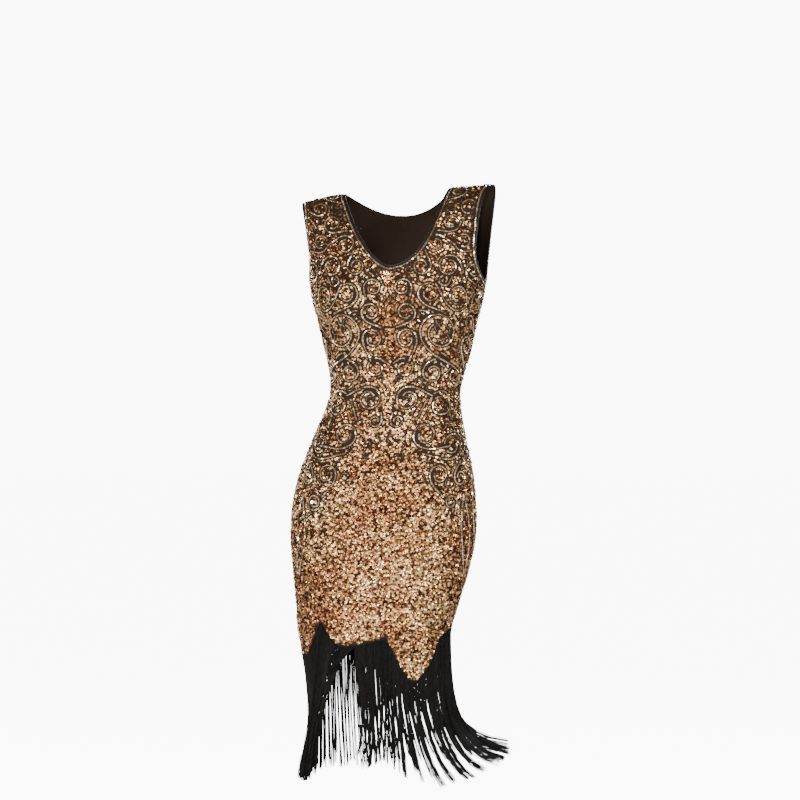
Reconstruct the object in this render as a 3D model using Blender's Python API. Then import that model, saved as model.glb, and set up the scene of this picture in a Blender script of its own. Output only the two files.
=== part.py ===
"""A sleeveless evening dress of sequinned net, with a V neck, a pointed hem and a long fringe.

Metres, +Z up. The front faces -Y and +X is on the wearer's left. The origin lies midway between the
shoulders, which hold the dress up. The dress keeps the hollow form that it has when it is worn.
"""

from collections import namedtuple

import bmesh
import bpy
import numpy as np
from mathutils.kdtree import KDTree

# Cloth
WALL = 0.002  # net with its sequins
GAP = 0.0004  # between two pieces that are sewn together
LAID_GAP = 0.0007  # between a panel and what lies along it, whose facets lean a little differently
SQUARENESS = 0.06  # how much fuller than an ellipse each section is, in radians
WIDEST_COLUMN = 7.6  # degrees round the dress between two columns of points
SEAM_MARGIN = 2.0  # a narrow last column in degrees, so that both walls end square to the seam
BODY_ROWS = 18  # between the hem and the chest line

# The tube below the chest line. Each row is a section at one height: its middle, its half width,
# its depth before and behind the middle, and how far its front is turned towards -X, in degrees.
Section = namedtuple("Section", "height middle_x middle_y half_width front_depth back_depth turned")
SECTIONS = (
    Section(-0.100, 0.000, 0.000, 0.1670, 0.098, 0.105, 9.0),
    Section(-0.145, 0.000, -0.001, 0.1650, 0.112, 0.104, 9.0),  # under the arms
    Section(-0.195, 0.000, -0.003, 0.1590, 0.121, 0.098, 9.0),  # bust
    Section(-0.245, 0.000, -0.003, 0.1465, 0.110, 0.091, 9.0),
    Section(-0.290, 0.000, 0.001, 0.1360, 0.097, 0.087, 9.0),
    Section(-0.330, -0.001, 0.003, 0.1262, 0.090, 0.085, 8.5),
    Section(-0.365, -0.004, 0.004, 0.1200, 0.087, 0.087, 8.0),  # waist
    Section(-0.400, -0.008, 0.003, 0.1230, 0.089, 0.093, 7.0),
    Section(-0.445, -0.014, 0.002, 0.1360, 0.094, 0.105, 6.0),
    Section(-0.520, -0.021, 0.000, 0.1585, 0.104, 0.121, 4.0),
    Section(-0.580, -0.025, 0.000, 0.1685, 0.109, 0.127, 2.0),  # hip
    Section(-0.635, -0.027, -0.002, 0.1700, 0.111, 0.125, 0.0),
    Section(-0.700, -0.031, -0.006, 0.1615, 0.109, 0.115, -2.0),
    Section(-0.765, -0.038, -0.010, 0.1485, 0.105, 0.105, -3.0),
    Section(-0.810, -0.043, -0.012, 0.1410, 0.103, 0.100, -4.0),
    Section(-0.860, -0.041, -0.014, 0.1360, 0.102, 0.098, -4.0),
    Section(-0.930, -0.040, -0.016, 0.1340, 0.101, 0.097, -4.0),
)

# The chest line, where the tube gives way to the straps
CHEST_CENTRE = -0.1475  # also the foot of the V neck
CHEST_SIDE = -0.172  # also the foot of each armhole
SLOPE_STEP = 0.010  # how far up the tube its slope at the chest line is read

# The yoke, from the chest line over the shoulders: a smooth surface, out of which the neck and the
# armholes are cut. Widths are from the middle of the dress, and shares are of the quarter from the
# centre to the side or of the rise from the chest line to the shoulder seam.
NECK_HALF_WIDTH = 0.100
YOKE_HALF_WIDTH = 0.186  # at the shoulder, where the armhole isn't cut out yet
YOKE_SWELL = 0.184  # pulls the half width outwards below the shoulder
TUBE_FADE = 0.7  # share of the rise over which the yoke leaves the tube's fuller shape
SHOULDER_TIP = {-1: -0.024, 1: 0.008}  # height of each shoulder's outer end
CHEST_PULL = 0.45  # how far up the cloth keeps the tube's own slope
SHOULDER_PULL = 0.055  # how far before and behind the seam the cloth lies level on the shoulder
Neck = namedtuple("Neck", "foot power")
NECKS = {  # by face, front 1 or back -1, and by side: a front V and a shallow back scoop
    (1, -1): Neck(CHEST_CENTRE, 0.67),
    (1, 1): Neck(CHEST_CENTRE, 0.47),
    (-1, -1): Neck(-0.045, 0.50),
    (-1, 1): Neck(-0.045, 0.50),
}
Armhole = namedtuple("Armhole", "cut_away left_at_shoulder flare")
ARMHOLES = {  # by face, front 1 or back -1, and by side; a higher flare widens the strap later
    (1, -1): Armhole(0.245, 0.80, 2.0),
    (1, 1): Armhole(0.325, 0.80, 5.0),
    (-1, -1): Armhole(0.240, 0.80, 2.0),
    (-1, 1): Armhole(0.130, 0.80, 2.0),
}
ARMHOLE_ROUND = 0.25  # share of the rise that the armhole's round foot takes
YOKE_ROWS = {1: (0, 9), -1: (5, 5)}  # front and back rows below the foot of the neck and above it
ROW_CROWDING = {1: 1.6, -1: 2.0}  # over 1 the rows lie closer at the foot of the neck
SEAM_ROW = 0.985  # the last row before the shoulder seam, narrow like SEAM_MARGIN
BEZIER_SAMPLES = 2001  # for finding the row that meets the foot of the neck
CLOSED = 1e-4  # the neck is shut where its opening is under this share

# The hem runs from notch to point and back. A turn is measured round the dress in degrees: 0 is the
# centre front, 90 the left side seam, 180 the centre back and 270 the right side seam.
HemCorner = namedtuple("HemCorner", "turn height rounded")
HEM = (
    HemCorner(-70.0, -0.854, True),
    HemCorner(-43.0, -0.788, False),
    HemCorner(-26.0, -0.832, True),
    HemCorner(5.0, -0.817, False),
    HemCorner(25.0, -0.896, True),
    HemCorner(52.0, -0.822, False),
    HemCorner(80.0, -0.797, False),
    HemCorner(104.0, -0.862, True),
    HemCorner(128.0, -0.792, False),
    HemCorner(152.0, -0.868, True),
    HemCorner(176.0, -0.794, False),
    HemCorner(198.0, -0.864, True),
    HemCorner(220.0, -0.790, False),
    HemCorner(241.0, -0.858, True),
    HemCorner(262.0, -0.792, False),
)
SHARP_SLOPE = 1.5  # how steeply the hem leaves a corner that isn't rounded; 1 is a straight line

# Edges
BINDING = 0.0032  # side of the square that stands for the rolled binding
SHARPEST_MITRE = 1.6
TAPE_ABOVE = 0.009  # the fringe's woven tape, behind the hem
TAPE_BELOW = 0.005
TAPE_WALL = 0.0012

# The fringe hangs from the tape. As its threads fall to the third column they swing towards +X by the
# second. A high curl makes them swing late, a lift over 1 makes them fall early and end nearly level,
# and the bow is how far their middles lie towards +X of that.
Fringe = namedtuple("Fringe", "turn swing end_height curl lift bow")
FRINGES = {
    "fringe_front_right": (
        Fringe(-90.0, 0.000, -1.078, 2.0, 1.0, 0.022),
        Fringe(-70.0, -0.004, -1.073, 2.0, 1.0, 0.016),
        Fringe(-43.0, -0.028, -1.069, 1.0, 1.0, 0.000),
        Fringe(-26.0, -0.056, -1.066, 0.70, 1.0, -0.004),
        Fringe(-17.0, -0.072, -1.066, 0.55, 1.0, -0.006),
    ),
    "fringe_front_left": (
        Fringe(-17.0, 0.008, -1.052, 1.0, 1.0, 0.010),
        Fringe(5.0, -0.004, -1.033, 1.5, 1.0, 0.002),
        Fringe(14.0, 0.012, -1.061, 1.7, 1.0, 0.000),
        Fringe(25.0, 0.048, -1.081, 2.0, 1.1, 0.000),
        Fringe(45.0, 0.066, -1.068, 2.5, 1.25, 0.000),
        Fringe(62.0, 0.092, -1.056, 3.0, 1.35, 0.000),
        Fringe(90.0, 0.112, -1.025, 3.5, 1.45, 0.000),
    ),
    "fringe_back": (
        Fringe(90.0, 0.112, -1.025, 3.5, 1.45, 0.000),
        Fringe(104.0, 0.100, -1.034, 3.0, 1.35, 0.000),
        Fringe(128.0, 0.070, -1.048, 2.2, 1.2, 0.000),
        Fringe(152.0, 0.040, -1.060, 1.8, 1.1, 0.000),
        Fringe(176.0, 0.018, -1.066, 1.6, 1.0, 0.000),
        Fringe(220.0, 0.000, -1.070, 1.5, 1.0, 0.000),
        Fringe(262.0, 0.001, -1.076, 2.0, 1.0, 0.018),
        Fringe(270.0, 0.000, -1.078, 2.0, 1.0, 0.022),
    ),
}
BOW_POWER = 1.3  # over 1 sets the deepest place of the bow below the middle of the fall
FRINGE_WALL = 0.004
FRINGE_OUTSET = 0.0012  # the threads lie this far outside the tape's outer face
FRINGE_DROP = 0.0010  # and start this far below it, because both follow a steep edge
FRINGE_ROWS = 6

# Colours: linear red, green and blue, then roughness and metallic value
Finish = namedtuple("Finish", "colour roughness metallic")
FINISHES = {
    "sequin_net": Finish((0.43, 0.25, 0.12), 0.35, 0.6),
    "black_binding": Finish((0.02, 0.018, 0.017), 0.55, 0.0),
    "fringe_tape": Finish((0.015, 0.014, 0.013), 0.60, 0.0),
    "fringe_thread": Finish((0.018, 0.016, 0.015), 0.40, 0.0),
}


def section_at(height):
    """The section's columns at any heights, on smooth curves through the table's rows."""
    table = np.array(SECTIONS)[::-1]
    knots, rows = table[:, 0], table[:, 1:]
    slopes = np.gradient(rows, knots, axis=0)
    height = np.clip(np.asarray(height, float), knots[0], knots[-1])
    low = np.clip(np.searchsorted(knots, height) - 1, 0, len(knots) - 2)
    step = (knots[low + 1] - knots[low])[..., None]
    share = (height - knots[low])[..., None] / step
    square, cube = share**2, share**3
    values = (
        rows[low] * (2 * cube - 3 * square + 1)
        + slopes[low] * step * (cube - 2 * square + share)
        + rows[low + 1] * (3 * square - 2 * cube)
        + slopes[low + 1] * step * (cube - square)
    )
    return np.moveaxis(values, -1, 0)


def across_and_forward(turn, height):
    """Where a turn round the tube lies in its own section, from the section's middle."""
    _, _, half_width, front_depth, back_depth, _ = section_at(height)
    angle = np.radians(turn)
    fuller = SQUARENESS * np.sin(2 * angle)
    across = half_width * np.sin(angle + fuller)
    forward = np.cos(angle - fuller)
    return across, forward * np.where(forward > 0, front_depth, back_depth)


def placed(across, forward, height):
    """World points, from places in their own sections."""
    middle_x, middle_y, _, _, _, turned = section_at(height)
    angle = np.radians(turned)
    x = middle_x + across * np.cos(angle) - forward * np.sin(angle)
    y = middle_y - across * np.sin(angle) - forward * np.cos(angle)
    return np.stack(np.broadcast_arrays(x, y, height), -1)


def tube_point(turn, height):
    """World points on the outside of the dress below the chest line."""
    return placed(*across_and_forward(turn, height), height)


def unit(vectors):
    """The same directions with a length of 1."""
    return vectors / np.linalg.norm(vectors, axis=-1, keepdims=True)


def mix(start, end, share):
    """A value between two others."""
    return start + (end - start) * share


def smooth(share):
    """A share that leaves 0 and reaches 1 gently."""
    return share**2 * (3 - 2 * share)


def bezier(start, first_pull, second_pull, end, share):
    """A value on a Bezier curve."""
    rest = 1 - share
    pulls = 3 * rest**2 * share * first_pull + 3 * rest * share**2 * second_pull
    return rest**3 * start + pulls + share**3 * end


def chest_height(side_share):
    """The chest line: 0 is the centre front or back, 1 a side seam."""
    return mix(CHEST_CENTRE, CHEST_SIDE, smooth(side_share))


def hem_height(turn):
    """The height of the hem round the dress."""
    corners = (*HEM, HEM[0]._replace(turn=HEM[0].turn + 360))
    turns, heights, rounded = np.array(corners).T
    slopes = np.where(rounded, 0, SHARP_SLOPE)
    turn = (np.asarray(turn, float) - turns[0]) % 360 + turns[0]
    low = np.clip(np.searchsorted(turns, turn, side="right") - 1, 0, len(turns) - 2)
    share = (turn - turns[low]) / (turns[low + 1] - turns[low])
    square, cube = share**2, share**3
    leaving = (cube - 2 * square + share) * slopes[low]
    arriving = (cube - square) * slopes[low + 1]
    return mix(heights[low], heights[low + 1], 3 * square - 2 * cube + leaving + arriving)


def yoke_profile(face, side, side_share, rise):
    """Forward and height of the cloth above the chest line."""
    foot = chest_height(side_share)
    turn = 90 * side_share if face > 0 else 180 - 90 * side_share
    foot_forward = abs(across_and_forward(turn, foot)[1])
    slope = (abs(across_and_forward(turn, foot + SLOPE_STEP)[1]) - foot_forward) / SLOPE_STEP
    top = SHOULDER_TIP[side] * np.sin(np.pi / 2 * side_share) ** 2
    pull = CHEST_PULL * (top - foot)
    forward = bezier(foot_forward, foot_forward + slope * pull, SHOULDER_PULL, GAP / 2, rise)
    return np.maximum(forward, GAP / 2), bezier(foot, foot + pull, top, top, rise)


def yoke_half_width(side, side_share, rise):
    """The half width of the whole yoke, which starts as the tube's own at the chest line."""
    foot = chest_height(side_share)
    at_foot, above = (section_at(foot + up)[2] for up in (0, SLOPE_STEP))
    pull = CHEST_PULL * (SHOULDER_TIP[side] - foot)
    first = at_foot + (above - at_foot) / SLOPE_STEP * pull
    return bezier(at_foot, first, YOKE_SWELL, YOKE_HALF_WIDTH, rise)


def neck_share(face, side, rise):
    """The share of the quarter, from the centre to the side, that the neck takes at each row."""
    neck = NECKS[face, side]
    centre_height = yoke_profile(face, side, 0.0, rise)[1]
    open_share = np.clip(1 - centre_height / neck.foot, 0, 1)
    opening = NECK_HALF_WIDTH * np.where(open_share > CLOSED, open_share, 0) ** neck.power
    return np.arcsin(opening / yoke_half_width(side, 0.0, rise)) / (np.pi / 2)


def armhole_share(face, side, rise):
    """The share of the quarter that is left inside the armhole's edge at each row."""
    armhole = ARMHOLES[face, side]
    below_round = 1 - np.minimum(rise / ARMHOLE_ROUND, 1)
    left = 1 - armhole.cut_away * np.sqrt(1 - below_round**2)
    return left + (armhole.left_at_shoulder - 1 + armhole.cut_away) * rise**armhole.flare


def yoke_point(face, side, share, rise):
    """World points above the chest line. A share of 0 is the neck edge and 1 the armhole edge."""
    side_share = mix(neck_share(face, side, rise), armhole_share(face, side, rise), share)
    forward, height = yoke_profile(face, side, side_share, rise)
    plain = np.radians(90 * side_share)
    fuller = plain + SQUARENESS * np.sin(2 * plain)
    angle = mix(fuller, plain, smooth(np.minimum(rise / TUBE_FADE, 1)))
    across = yoke_half_width(side, side_share, rise) * np.sin(angle)
    return placed(side * across, face * forward, height)


def columns_between(corners, widest):
    """Turns from the first corner to the last, with each corner kept."""
    turns = [corners[0]]
    for start, end in zip(corners, corners[1:]):
        count = int(np.ceil((end - start) / widest))
        turns.extend(np.linspace(start, end, count + 1)[1:])
    return np.array(turns)


def panel_turns(face):
    """The columns of the front or back panel, from seam to seam, with one at each hem corner."""
    start, middle, end = (-90, 0, 90) if face > 0 else (90, 180, 270)
    hem_turns = [c.turn + lap for c in HEM for lap in (0, 360) if start < c.turn + lap < end]
    margins = [start + SEAM_MARGIN, end - SEAM_MARGIN]
    return columns_between(sorted([start, middle, end, *margins, *hem_turns]), WIDEST_COLUMN)


def yoke_rises(face):
    """The rows of the yoke, with one at the foot of the neck and a narrow one at the seam."""
    below, above = YOKE_ROWS[face]
    samples = np.linspace(0, 1, BEZIER_SAMPLES)
    foot = np.interp(NECKS[face, 1].foot, yoke_profile(face, 1, 0.0, samples)[1], samples)
    to_foot = np.linspace(0, foot, below + 1)[:-1]
    from_foot = foot + (SEAM_ROW - foot) * np.linspace(0, 1, above + 1) ** ROW_CROWDING[face]
    return np.array([*to_foot, *from_foot, 1.0])


def body_grid(face):
    """Rows of points from the hem up to the chest line, from seam to seam."""
    turns = panel_turns(face)
    side_share = abs(turns if face > 0 else turns - 180) / 90
    rows = np.linspace(0, 1, BODY_ROWS + 1)[:, None]
    height = mix(hem_height(turns), chest_height(side_share), rows)
    across, forward = across_and_forward(turns + 0 * rows, height)
    forward = face * np.maximum(face * forward, GAP / 2)
    return placed(across, forward, height)


def yoke_grid(face, side):
    """Rows of points from the chest line up to the shoulder seam, round the same way as the body."""
    turns = panel_turns(face)
    from_centre = turns if face > 0 else 180 - turns
    share = np.sort(abs(from_centre[from_centre * side >= 0])) / 90
    grid = yoke_point(face, side, share, yoke_rises(face)[:, None])
    return grid if side == face else grid[:, ::-1]


def add_grid(mesh, grid, ring=False):
    """Adds a grid of points to a bmesh. Rows go up and columns go round, so that faces look out."""
    rows, columns, _ = grid.shape
    verts = [[mesh.verts.new(point) for point in row] for row in grid]
    for row in range(rows - 1):
        for column in range(columns if ring else columns - 1):
            after = (column + 1) % columns
            corners = (verts[row][column], verts[row][after])
            mesh.faces.new((*corners, verts[row + 1][after], verts[row + 1][column]))


def finish_material(name):
    """The material of a finish, made once."""
    if name in bpy.data.materials:
        return bpy.data.materials[name]
    finish = FINISHES[name]
    material = bpy.data.materials.new(name)
    material.use_nodes = True
    shader = material.node_tree.nodes["Principled BSDF"]
    shader.inputs["Base Color"].default_value = (*finish.colour, 1)
    shader.inputs["Roughness"].default_value = finish.roughness
    shader.inputs["Metallic"].default_value = finish.metallic
    return material


def add_object(name, mesh, finish):
    """Puts a bmesh in the scene as one named piece."""
    bmesh.ops.remove_doubles(mesh, verts=mesh.verts, dist=1e-6)
    data = bpy.data.meshes.new(name)
    mesh.to_mesh(data)
    mesh.free()
    data.shade_smooth()
    data.materials.append(finish_material(finish))
    piece = bpy.data.objects.new(name, data)
    bpy.context.scene.collection.objects.link(piece)
    return piece


def add_wall(name, grids, finish, thickness, ring=False):
    """A sheet of cloth: its outer face is the grids, and the wall is inside them."""
    mesh = bmesh.new()
    for grid in grids:
        add_grid(mesh, grid, ring)
    piece = add_object(name, mesh, finish)
    wall = piece.modifiers.new("wall", "SOLIDIFY")
    wall.thickness = thickness
    wall.offset = -1
    return piece


def cloth_normals(panels, points):
    """Which way the panels face at their own points nearest to these."""
    verts = [vert for panel in panels for vert in panel.data.vertices]
    tree = KDTree(len(verts))
    for index, vert in enumerate(verts):
        tree.insert(vert.co, index)
    tree.balance()
    return np.array([verts[tree.find(point)[1]].normal for point in points])


def add_binding(name, edge, panels):
    """A closed square cord along the edge of an opening."""
    normal = cloth_normals(panels, edge)
    along = unit(np.roll(edge, -1, 0) - np.roll(edge, 1, 0))
    inward = unit(np.cross(along, normal))
    inward *= np.sign((inward * (edge.mean(0) - edge)).sum())
    ahead = unit(np.roll(edge, -1, 0) - edge)
    half_bend = np.arccos(np.clip((ahead * np.roll(ahead, 1, 0)).sum(1), -1, 1)) / 2
    mitre = np.minimum(1 / np.cos(half_bend), SHARPEST_MITRE)[:, None]
    middle = edge - normal * WALL / 2
    near, far = inward * LAID_GAP * mitre, inward * (LAID_GAP + BINDING) * mitre
    thick = normal * BINDING / 2
    rows = [middle + near - thick, middle + far - thick, middle + far + thick, middle + near + thick]
    mesh = bmesh.new()
    add_grid(mesh, np.array([*rows, rows[0]]), ring=True)
    bmesh.ops.remove_doubles(mesh, verts=mesh.verts, dist=1e-6)
    bmesh.ops.recalc_face_normals(mesh, faces=mesh.faces)
    return add_object(name, mesh, "black_binding")


def add_neck_binding(panels):
    """The binding of the neck: up the left of the V, round the back and down to the foot."""
    up = yoke_rises(1)[1:]
    foot, *back_up, _ = yoke_rises(-1)[YOKE_ROWS[-1][0] :]
    back_up = np.array(back_up)
    edge = [
        *yoke_point(1, 1, 0.0, up),
        *yoke_point(-1, 1, 0.0, back_up[::-1]),
        yoke_point(-1, 1, 0.0, foot),
        *yoke_point(-1, -1, 0.0, back_up),
        *yoke_point(1, -1, 0.0, up[::-1]),
        tube_point(0.0, CHEST_CENTRE),
    ]
    add_binding("neck_binding", np.array(edge), panels)


def add_armhole_binding(name, side, panels):
    """The binding of one armhole: up the front edge, over the shoulder and down the back."""
    up, back_down = yoke_rises(1), yoke_rises(-1)[1:-1][::-1]
    edge = [*yoke_point(1, side, 1.0, up), *yoke_point(-1, side, 1.0, back_down)]
    add_binding(name, np.array(edge), panels)


def hem_edge(panels):
    """The hem's points all the way round: their turns, places, ways down and ways out."""
    turns = np.concatenate([panel_turns(1)[:-1], panel_turns(-1)[:-1]])
    edge, above = np.concatenate([body_grid(1)[:2, :-1], body_grid(-1)[:2, :-1]], axis=1)
    return turns, edge, unit(edge - above), cloth_normals(panels, edge)


def add_tape(panels):
    """The woven tape of the fringe, sewn behind the hem all the way round."""
    _, edge, down, out = hem_edge(panels)
    grid = np.array([edge + down * TAPE_BELOW, edge - down * TAPE_ABOVE]) - out * (WALL + LAID_GAP)
    add_wall("fringe_tape", [grid], "fringe_tape", TAPE_WALL, ring=True)


def add_fringe(name, table, panels):
    """A plain wall of the space that the threads fill, from the tape down to their ends."""
    rows = np.array(table)
    turns, edge, down, out = hem_edge(panels)
    inside = (turns > rows[0, 0]) & (turns < rows[-1, 0])
    top = edge + down * (TAPE_BELOW + FRINGE_DROP) - out * (WALL + LAID_GAP - FRINGE_OUTSET)
    turns, top = turns[inside], top[inside]
    swing, end_height, curl, lift, bow = (np.interp(turns, rows[:, 0], c) for c in rows[:, 1:].T)
    fall = np.linspace(1, 0, FRINGE_ROWS)[:, None]
    grid = np.repeat(top[None], FRINGE_ROWS, axis=0)
    grid[..., 0] += swing * fall**curl + bow * np.sin(np.pi * fall**BOW_POWER)
    grid[..., 2] += (end_height - top[:, 2]) * (1 - (1 - fall) ** lift)
    add_wall(name, [grid], "fringe_thread", FRINGE_WALL)


def main():
    for old in list(bpy.data.objects):
        bpy.data.objects.remove(old)
    panels = []
    for name, face in (("front_panel", 1), ("back_panel", -1)):
        grids = [body_grid(face), yoke_grid(face, -1), yoke_grid(face, 1)]
        panels.append(add_wall(name, grids, "sequin_net", WALL))
    add_neck_binding(panels)
    add_armhole_binding("armhole_binding_right", -1, panels)
    add_armhole_binding("armhole_binding_left", 1, panels)
    add_tape(panels)
    for name, table in FRINGES.items():
        add_fringe(name, table, panels)


main()
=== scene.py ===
"""The looks of a sleeveless evening dress: sequins and beaded scrolls on black net, and a long fringe.

It is laid out as an add-on and run as a script. Metres, +Z up; the front faces -Y and +X is on the
wearer's left. Each panel is worked out twice, as it is worn and as it lies flat on the table. Sequins
and beads are set out on the flat cloth and carried over to the worn one.
"""

from collections import namedtuple
from functools import cache

import bpy
import numpy as np
from bpy.props import FloatProperty, FloatVectorProperty, PointerProperty
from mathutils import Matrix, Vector
from mathutils.bvhtree import BVHTree
from mathutils.kdtree import KDTree


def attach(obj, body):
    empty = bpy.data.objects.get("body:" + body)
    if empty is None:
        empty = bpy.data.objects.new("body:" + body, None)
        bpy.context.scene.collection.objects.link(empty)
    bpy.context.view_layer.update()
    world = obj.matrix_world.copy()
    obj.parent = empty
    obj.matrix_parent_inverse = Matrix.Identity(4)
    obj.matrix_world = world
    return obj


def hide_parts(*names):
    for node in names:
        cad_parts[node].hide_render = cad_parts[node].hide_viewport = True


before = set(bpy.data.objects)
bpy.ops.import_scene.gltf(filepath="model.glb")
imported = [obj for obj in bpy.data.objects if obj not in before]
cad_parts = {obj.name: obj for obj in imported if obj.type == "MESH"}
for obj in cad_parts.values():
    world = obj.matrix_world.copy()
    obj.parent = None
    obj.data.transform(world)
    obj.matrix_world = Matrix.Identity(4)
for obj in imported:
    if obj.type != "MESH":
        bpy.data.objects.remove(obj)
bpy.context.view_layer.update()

bl_info = {
    "name": "Sequinned evening dress",
    "version": (1, 0, 0),
    "blender": (4, 5, 0),
    "location": "3D View > Sidebar > Dress",
    "description": "Makes the cloth, sequins, beads and fringe of an evening dress",
    "category": "Add Mesh",
}

# ---------------------------------------------------------------- the cut of the dress

WALL = 0.002  # net with its sequins
GAP = 0.0004  # between two panels that are sewn together
LAID_GAP = 0.0007  # between a panel and what lies along it
SQUARENESS = 0.06  # how much fuller than an ellipse each section is, in radians
WHOLE_TURN = 2 * np.pi
TINY = 1e-12  # stands for the length of a direction that has none

# The tube below the chest line. Each row is a section at one height: its middle, its half width,
# its depth before and behind the middle, and how far its front is turned towards -X, in degrees.
Section = namedtuple("Section", "height middle_x middle_y half_width front_depth back_depth turned")
SECTIONS = (
    Section(-0.100, 0.000, 0.000, 0.1670, 0.098, 0.105, 9.0),
    Section(-0.145, 0.000, -0.001, 0.1650, 0.112, 0.104, 9.0),  # under the arms
    Section(-0.195, 0.000, -0.003, 0.1590, 0.121, 0.098, 9.0),  # bust
    Section(-0.245, 0.000, -0.003, 0.1465, 0.110, 0.091, 9.0),
    Section(-0.290, 0.000, 0.001, 0.1360, 0.097, 0.087, 9.0),
    Section(-0.330, -0.001, 0.003, 0.1262, 0.090, 0.085, 8.5),
    Section(-0.365, -0.004, 0.004, 0.1200, 0.087, 0.087, 8.0),  # waist
    Section(-0.400, -0.008, 0.003, 0.1230, 0.089, 0.093, 7.0),
    Section(-0.445, -0.014, 0.002, 0.1360, 0.094, 0.105, 6.0),
    Section(-0.520, -0.021, 0.000, 0.1585, 0.104, 0.121, 4.0),
    Section(-0.580, -0.025, 0.000, 0.1685, 0.109, 0.127, 2.0),  # hip
    Section(-0.635, -0.027, -0.002, 0.1700, 0.111, 0.125, 0.0),
    Section(-0.700, -0.031, -0.006, 0.1615, 0.109, 0.115, -2.0),
    Section(-0.765, -0.038, -0.010, 0.1485, 0.105, 0.105, -3.0),
    Section(-0.810, -0.043, -0.012, 0.1410, 0.103, 0.100, -4.0),
    Section(-0.860, -0.041, -0.014, 0.1360, 0.102, 0.098, -4.0),
    Section(-0.930, -0.040, -0.016, 0.1340, 0.101, 0.097, -4.0),
)

# The chest line, where the tube gives way to the straps
CHEST_CENTRE = -0.1475  # also the foot of the V neck
CHEST_SIDE = -0.172  # also the foot of each armhole
SLOPE_STEP = 0.010  # how far up the tube its slope at the chest line is read

# The yoke, from the chest line over the shoulders, out of which the neck and armholes are cut. Widths
# are from the middle of the dress, and shares are of the rise from the chest line to the shoulder.
NECK_HALF_WIDTH = 0.100
YOKE_HALF_WIDTH = 0.186  # at the shoulder, where the armhole isn't cut out yet
YOKE_SWELL = 0.184  # pulls the half width outwards below the shoulder
TUBE_FADE = 0.7  # share over which the yoke leaves the tube's fuller shape
SHOULDER_TIP = {-1: -0.024, 1: 0.008}  # height of each shoulder's outer end
CHEST_PULL = 0.45  # share up to which the cloth keeps the tube's own slope
SHOULDER_PULL = 0.055  # how far before and behind the seam the cloth lies level on the shoulder
Neck = namedtuple("Neck", "foot power")
NECKS = {  # by face, front 1 or back -1, and by side: a front V and a shallow back scoop
    (1, -1): Neck(CHEST_CENTRE, 0.67),
    (1, 1): Neck(CHEST_CENTRE, 0.47),
    (-1, -1): Neck(-0.045, 0.50),
    (-1, 1): Neck(-0.045, 0.50),
}
Armhole = namedtuple("Armhole", "cut_away left_at_shoulder flare")
ARMHOLES = {  # by face and side too; a higher flare widens the strap later
    (1, -1): Armhole(0.245, 0.80, 2.0),
    (1, 1): Armhole(0.325, 0.80, 5.0),
    (-1, -1): Armhole(0.240, 0.80, 2.0),
    (-1, 1): Armhole(0.130, 0.80, 2.0),
}
ARMHOLE_ROUND = 0.25  # share that the armhole's round foot takes
CLOSED = 1e-4  # the neck is shut where its opening is under this share

# The hem. A turn is measured round the dress in degrees: 0 is the centre front, 90 the left side seam,
# 180 the centre back and 270 the right side seam.
HemCorner = namedtuple("HemCorner", "turn height rounded")
HEM = (
    HemCorner(-70.0, -0.854, True),
    HemCorner(-43.0, -0.788, False),
    HemCorner(-26.0, -0.832, True),
    HemCorner(5.0, -0.817, False),
    HemCorner(25.0, -0.896, True),
    HemCorner(52.0, -0.822, False),
    HemCorner(80.0, -0.797, False),
    HemCorner(104.0, -0.862, True),
    HemCorner(128.0, -0.792, False),
    HemCorner(152.0, -0.868, True),
    HemCorner(176.0, -0.794, False),
    HemCorner(198.0, -0.864, True),
    HemCorner(220.0, -0.790, False),
    HemCorner(241.0, -0.858, True),
    HemCorner(262.0, -0.792, False),
)
SHARP_SLOPE = 1.5  # how steeply the hem leaves a corner that isn't rounded; 1 is a straight line

# The woven tape lies behind the hem, from so far above its edge to so far below
TAPE_ABOVE = 0.009
TAPE_BELOW = 0.005

# The fringe hangs from the tape. As its strands fall to the third column they swing towards +X by the
# second. A high curl makes them swing late, a lift over 1 makes them fall early and end nearly level,
# and the bow is how far their middles lie towards +X of that.
Fringe = namedtuple("Fringe", "turn swing end_height curl lift bow")
FRINGES = {
    "fringe_front_right": (
        Fringe(-90.0, 0.000, -1.078, 2.0, 1.0, 0.022),
        Fringe(-70.0, -0.004, -1.073, 2.0, 1.0, 0.016),
        Fringe(-43.0, -0.028, -1.069, 1.0, 1.0, 0.000),
        Fringe(-26.0, -0.056, -1.066, 0.70, 1.0, -0.004),
        Fringe(-17.0, -0.072, -1.066, 0.55, 1.0, -0.006),
    ),
    "fringe_front_left": (
        Fringe(-17.0, 0.008, -1.052, 1.0, 1.0, 0.010),
        Fringe(5.0, -0.004, -1.033, 1.5, 1.0, 0.002),
        Fringe(14.0, 0.012, -1.061, 1.7, 1.0, 0.000),
        Fringe(25.0, 0.048, -1.081, 2.0, 1.1, 0.000),
        Fringe(45.0, 0.066, -1.068, 2.5, 1.25, 0.000),
        Fringe(62.0, 0.092, -1.056, 3.0, 1.35, 0.000),
        Fringe(90.0, 0.112, -1.025, 3.5, 1.45, 0.000),
    ),
    "fringe_back": (
        Fringe(90.0, 0.112, -1.025, 3.5, 1.45, 0.000),
        Fringe(104.0, 0.100, -1.034, 3.0, 1.35, 0.000),
        Fringe(128.0, 0.070, -1.048, 2.2, 1.2, 0.000),
        Fringe(152.0, 0.040, -1.060, 1.8, 1.1, 0.000),
        Fringe(176.0, 0.018, -1.066, 1.6, 1.0, 0.000),
        Fringe(220.0, 0.000, -1.070, 1.5, 1.0, 0.000),
        Fringe(262.0, 0.001, -1.076, 2.0, 1.0, 0.018),
        Fringe(270.0, 0.000, -1.078, 2.0, 1.0, 0.022),
    ),
}
BOW_POWER = 1.3  # over 1 sets the deepest place of the bow below the middle of the fall
FRINGE_OUTSET = 0.0012  # the strands lie this far outside the tape's outer face

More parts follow.
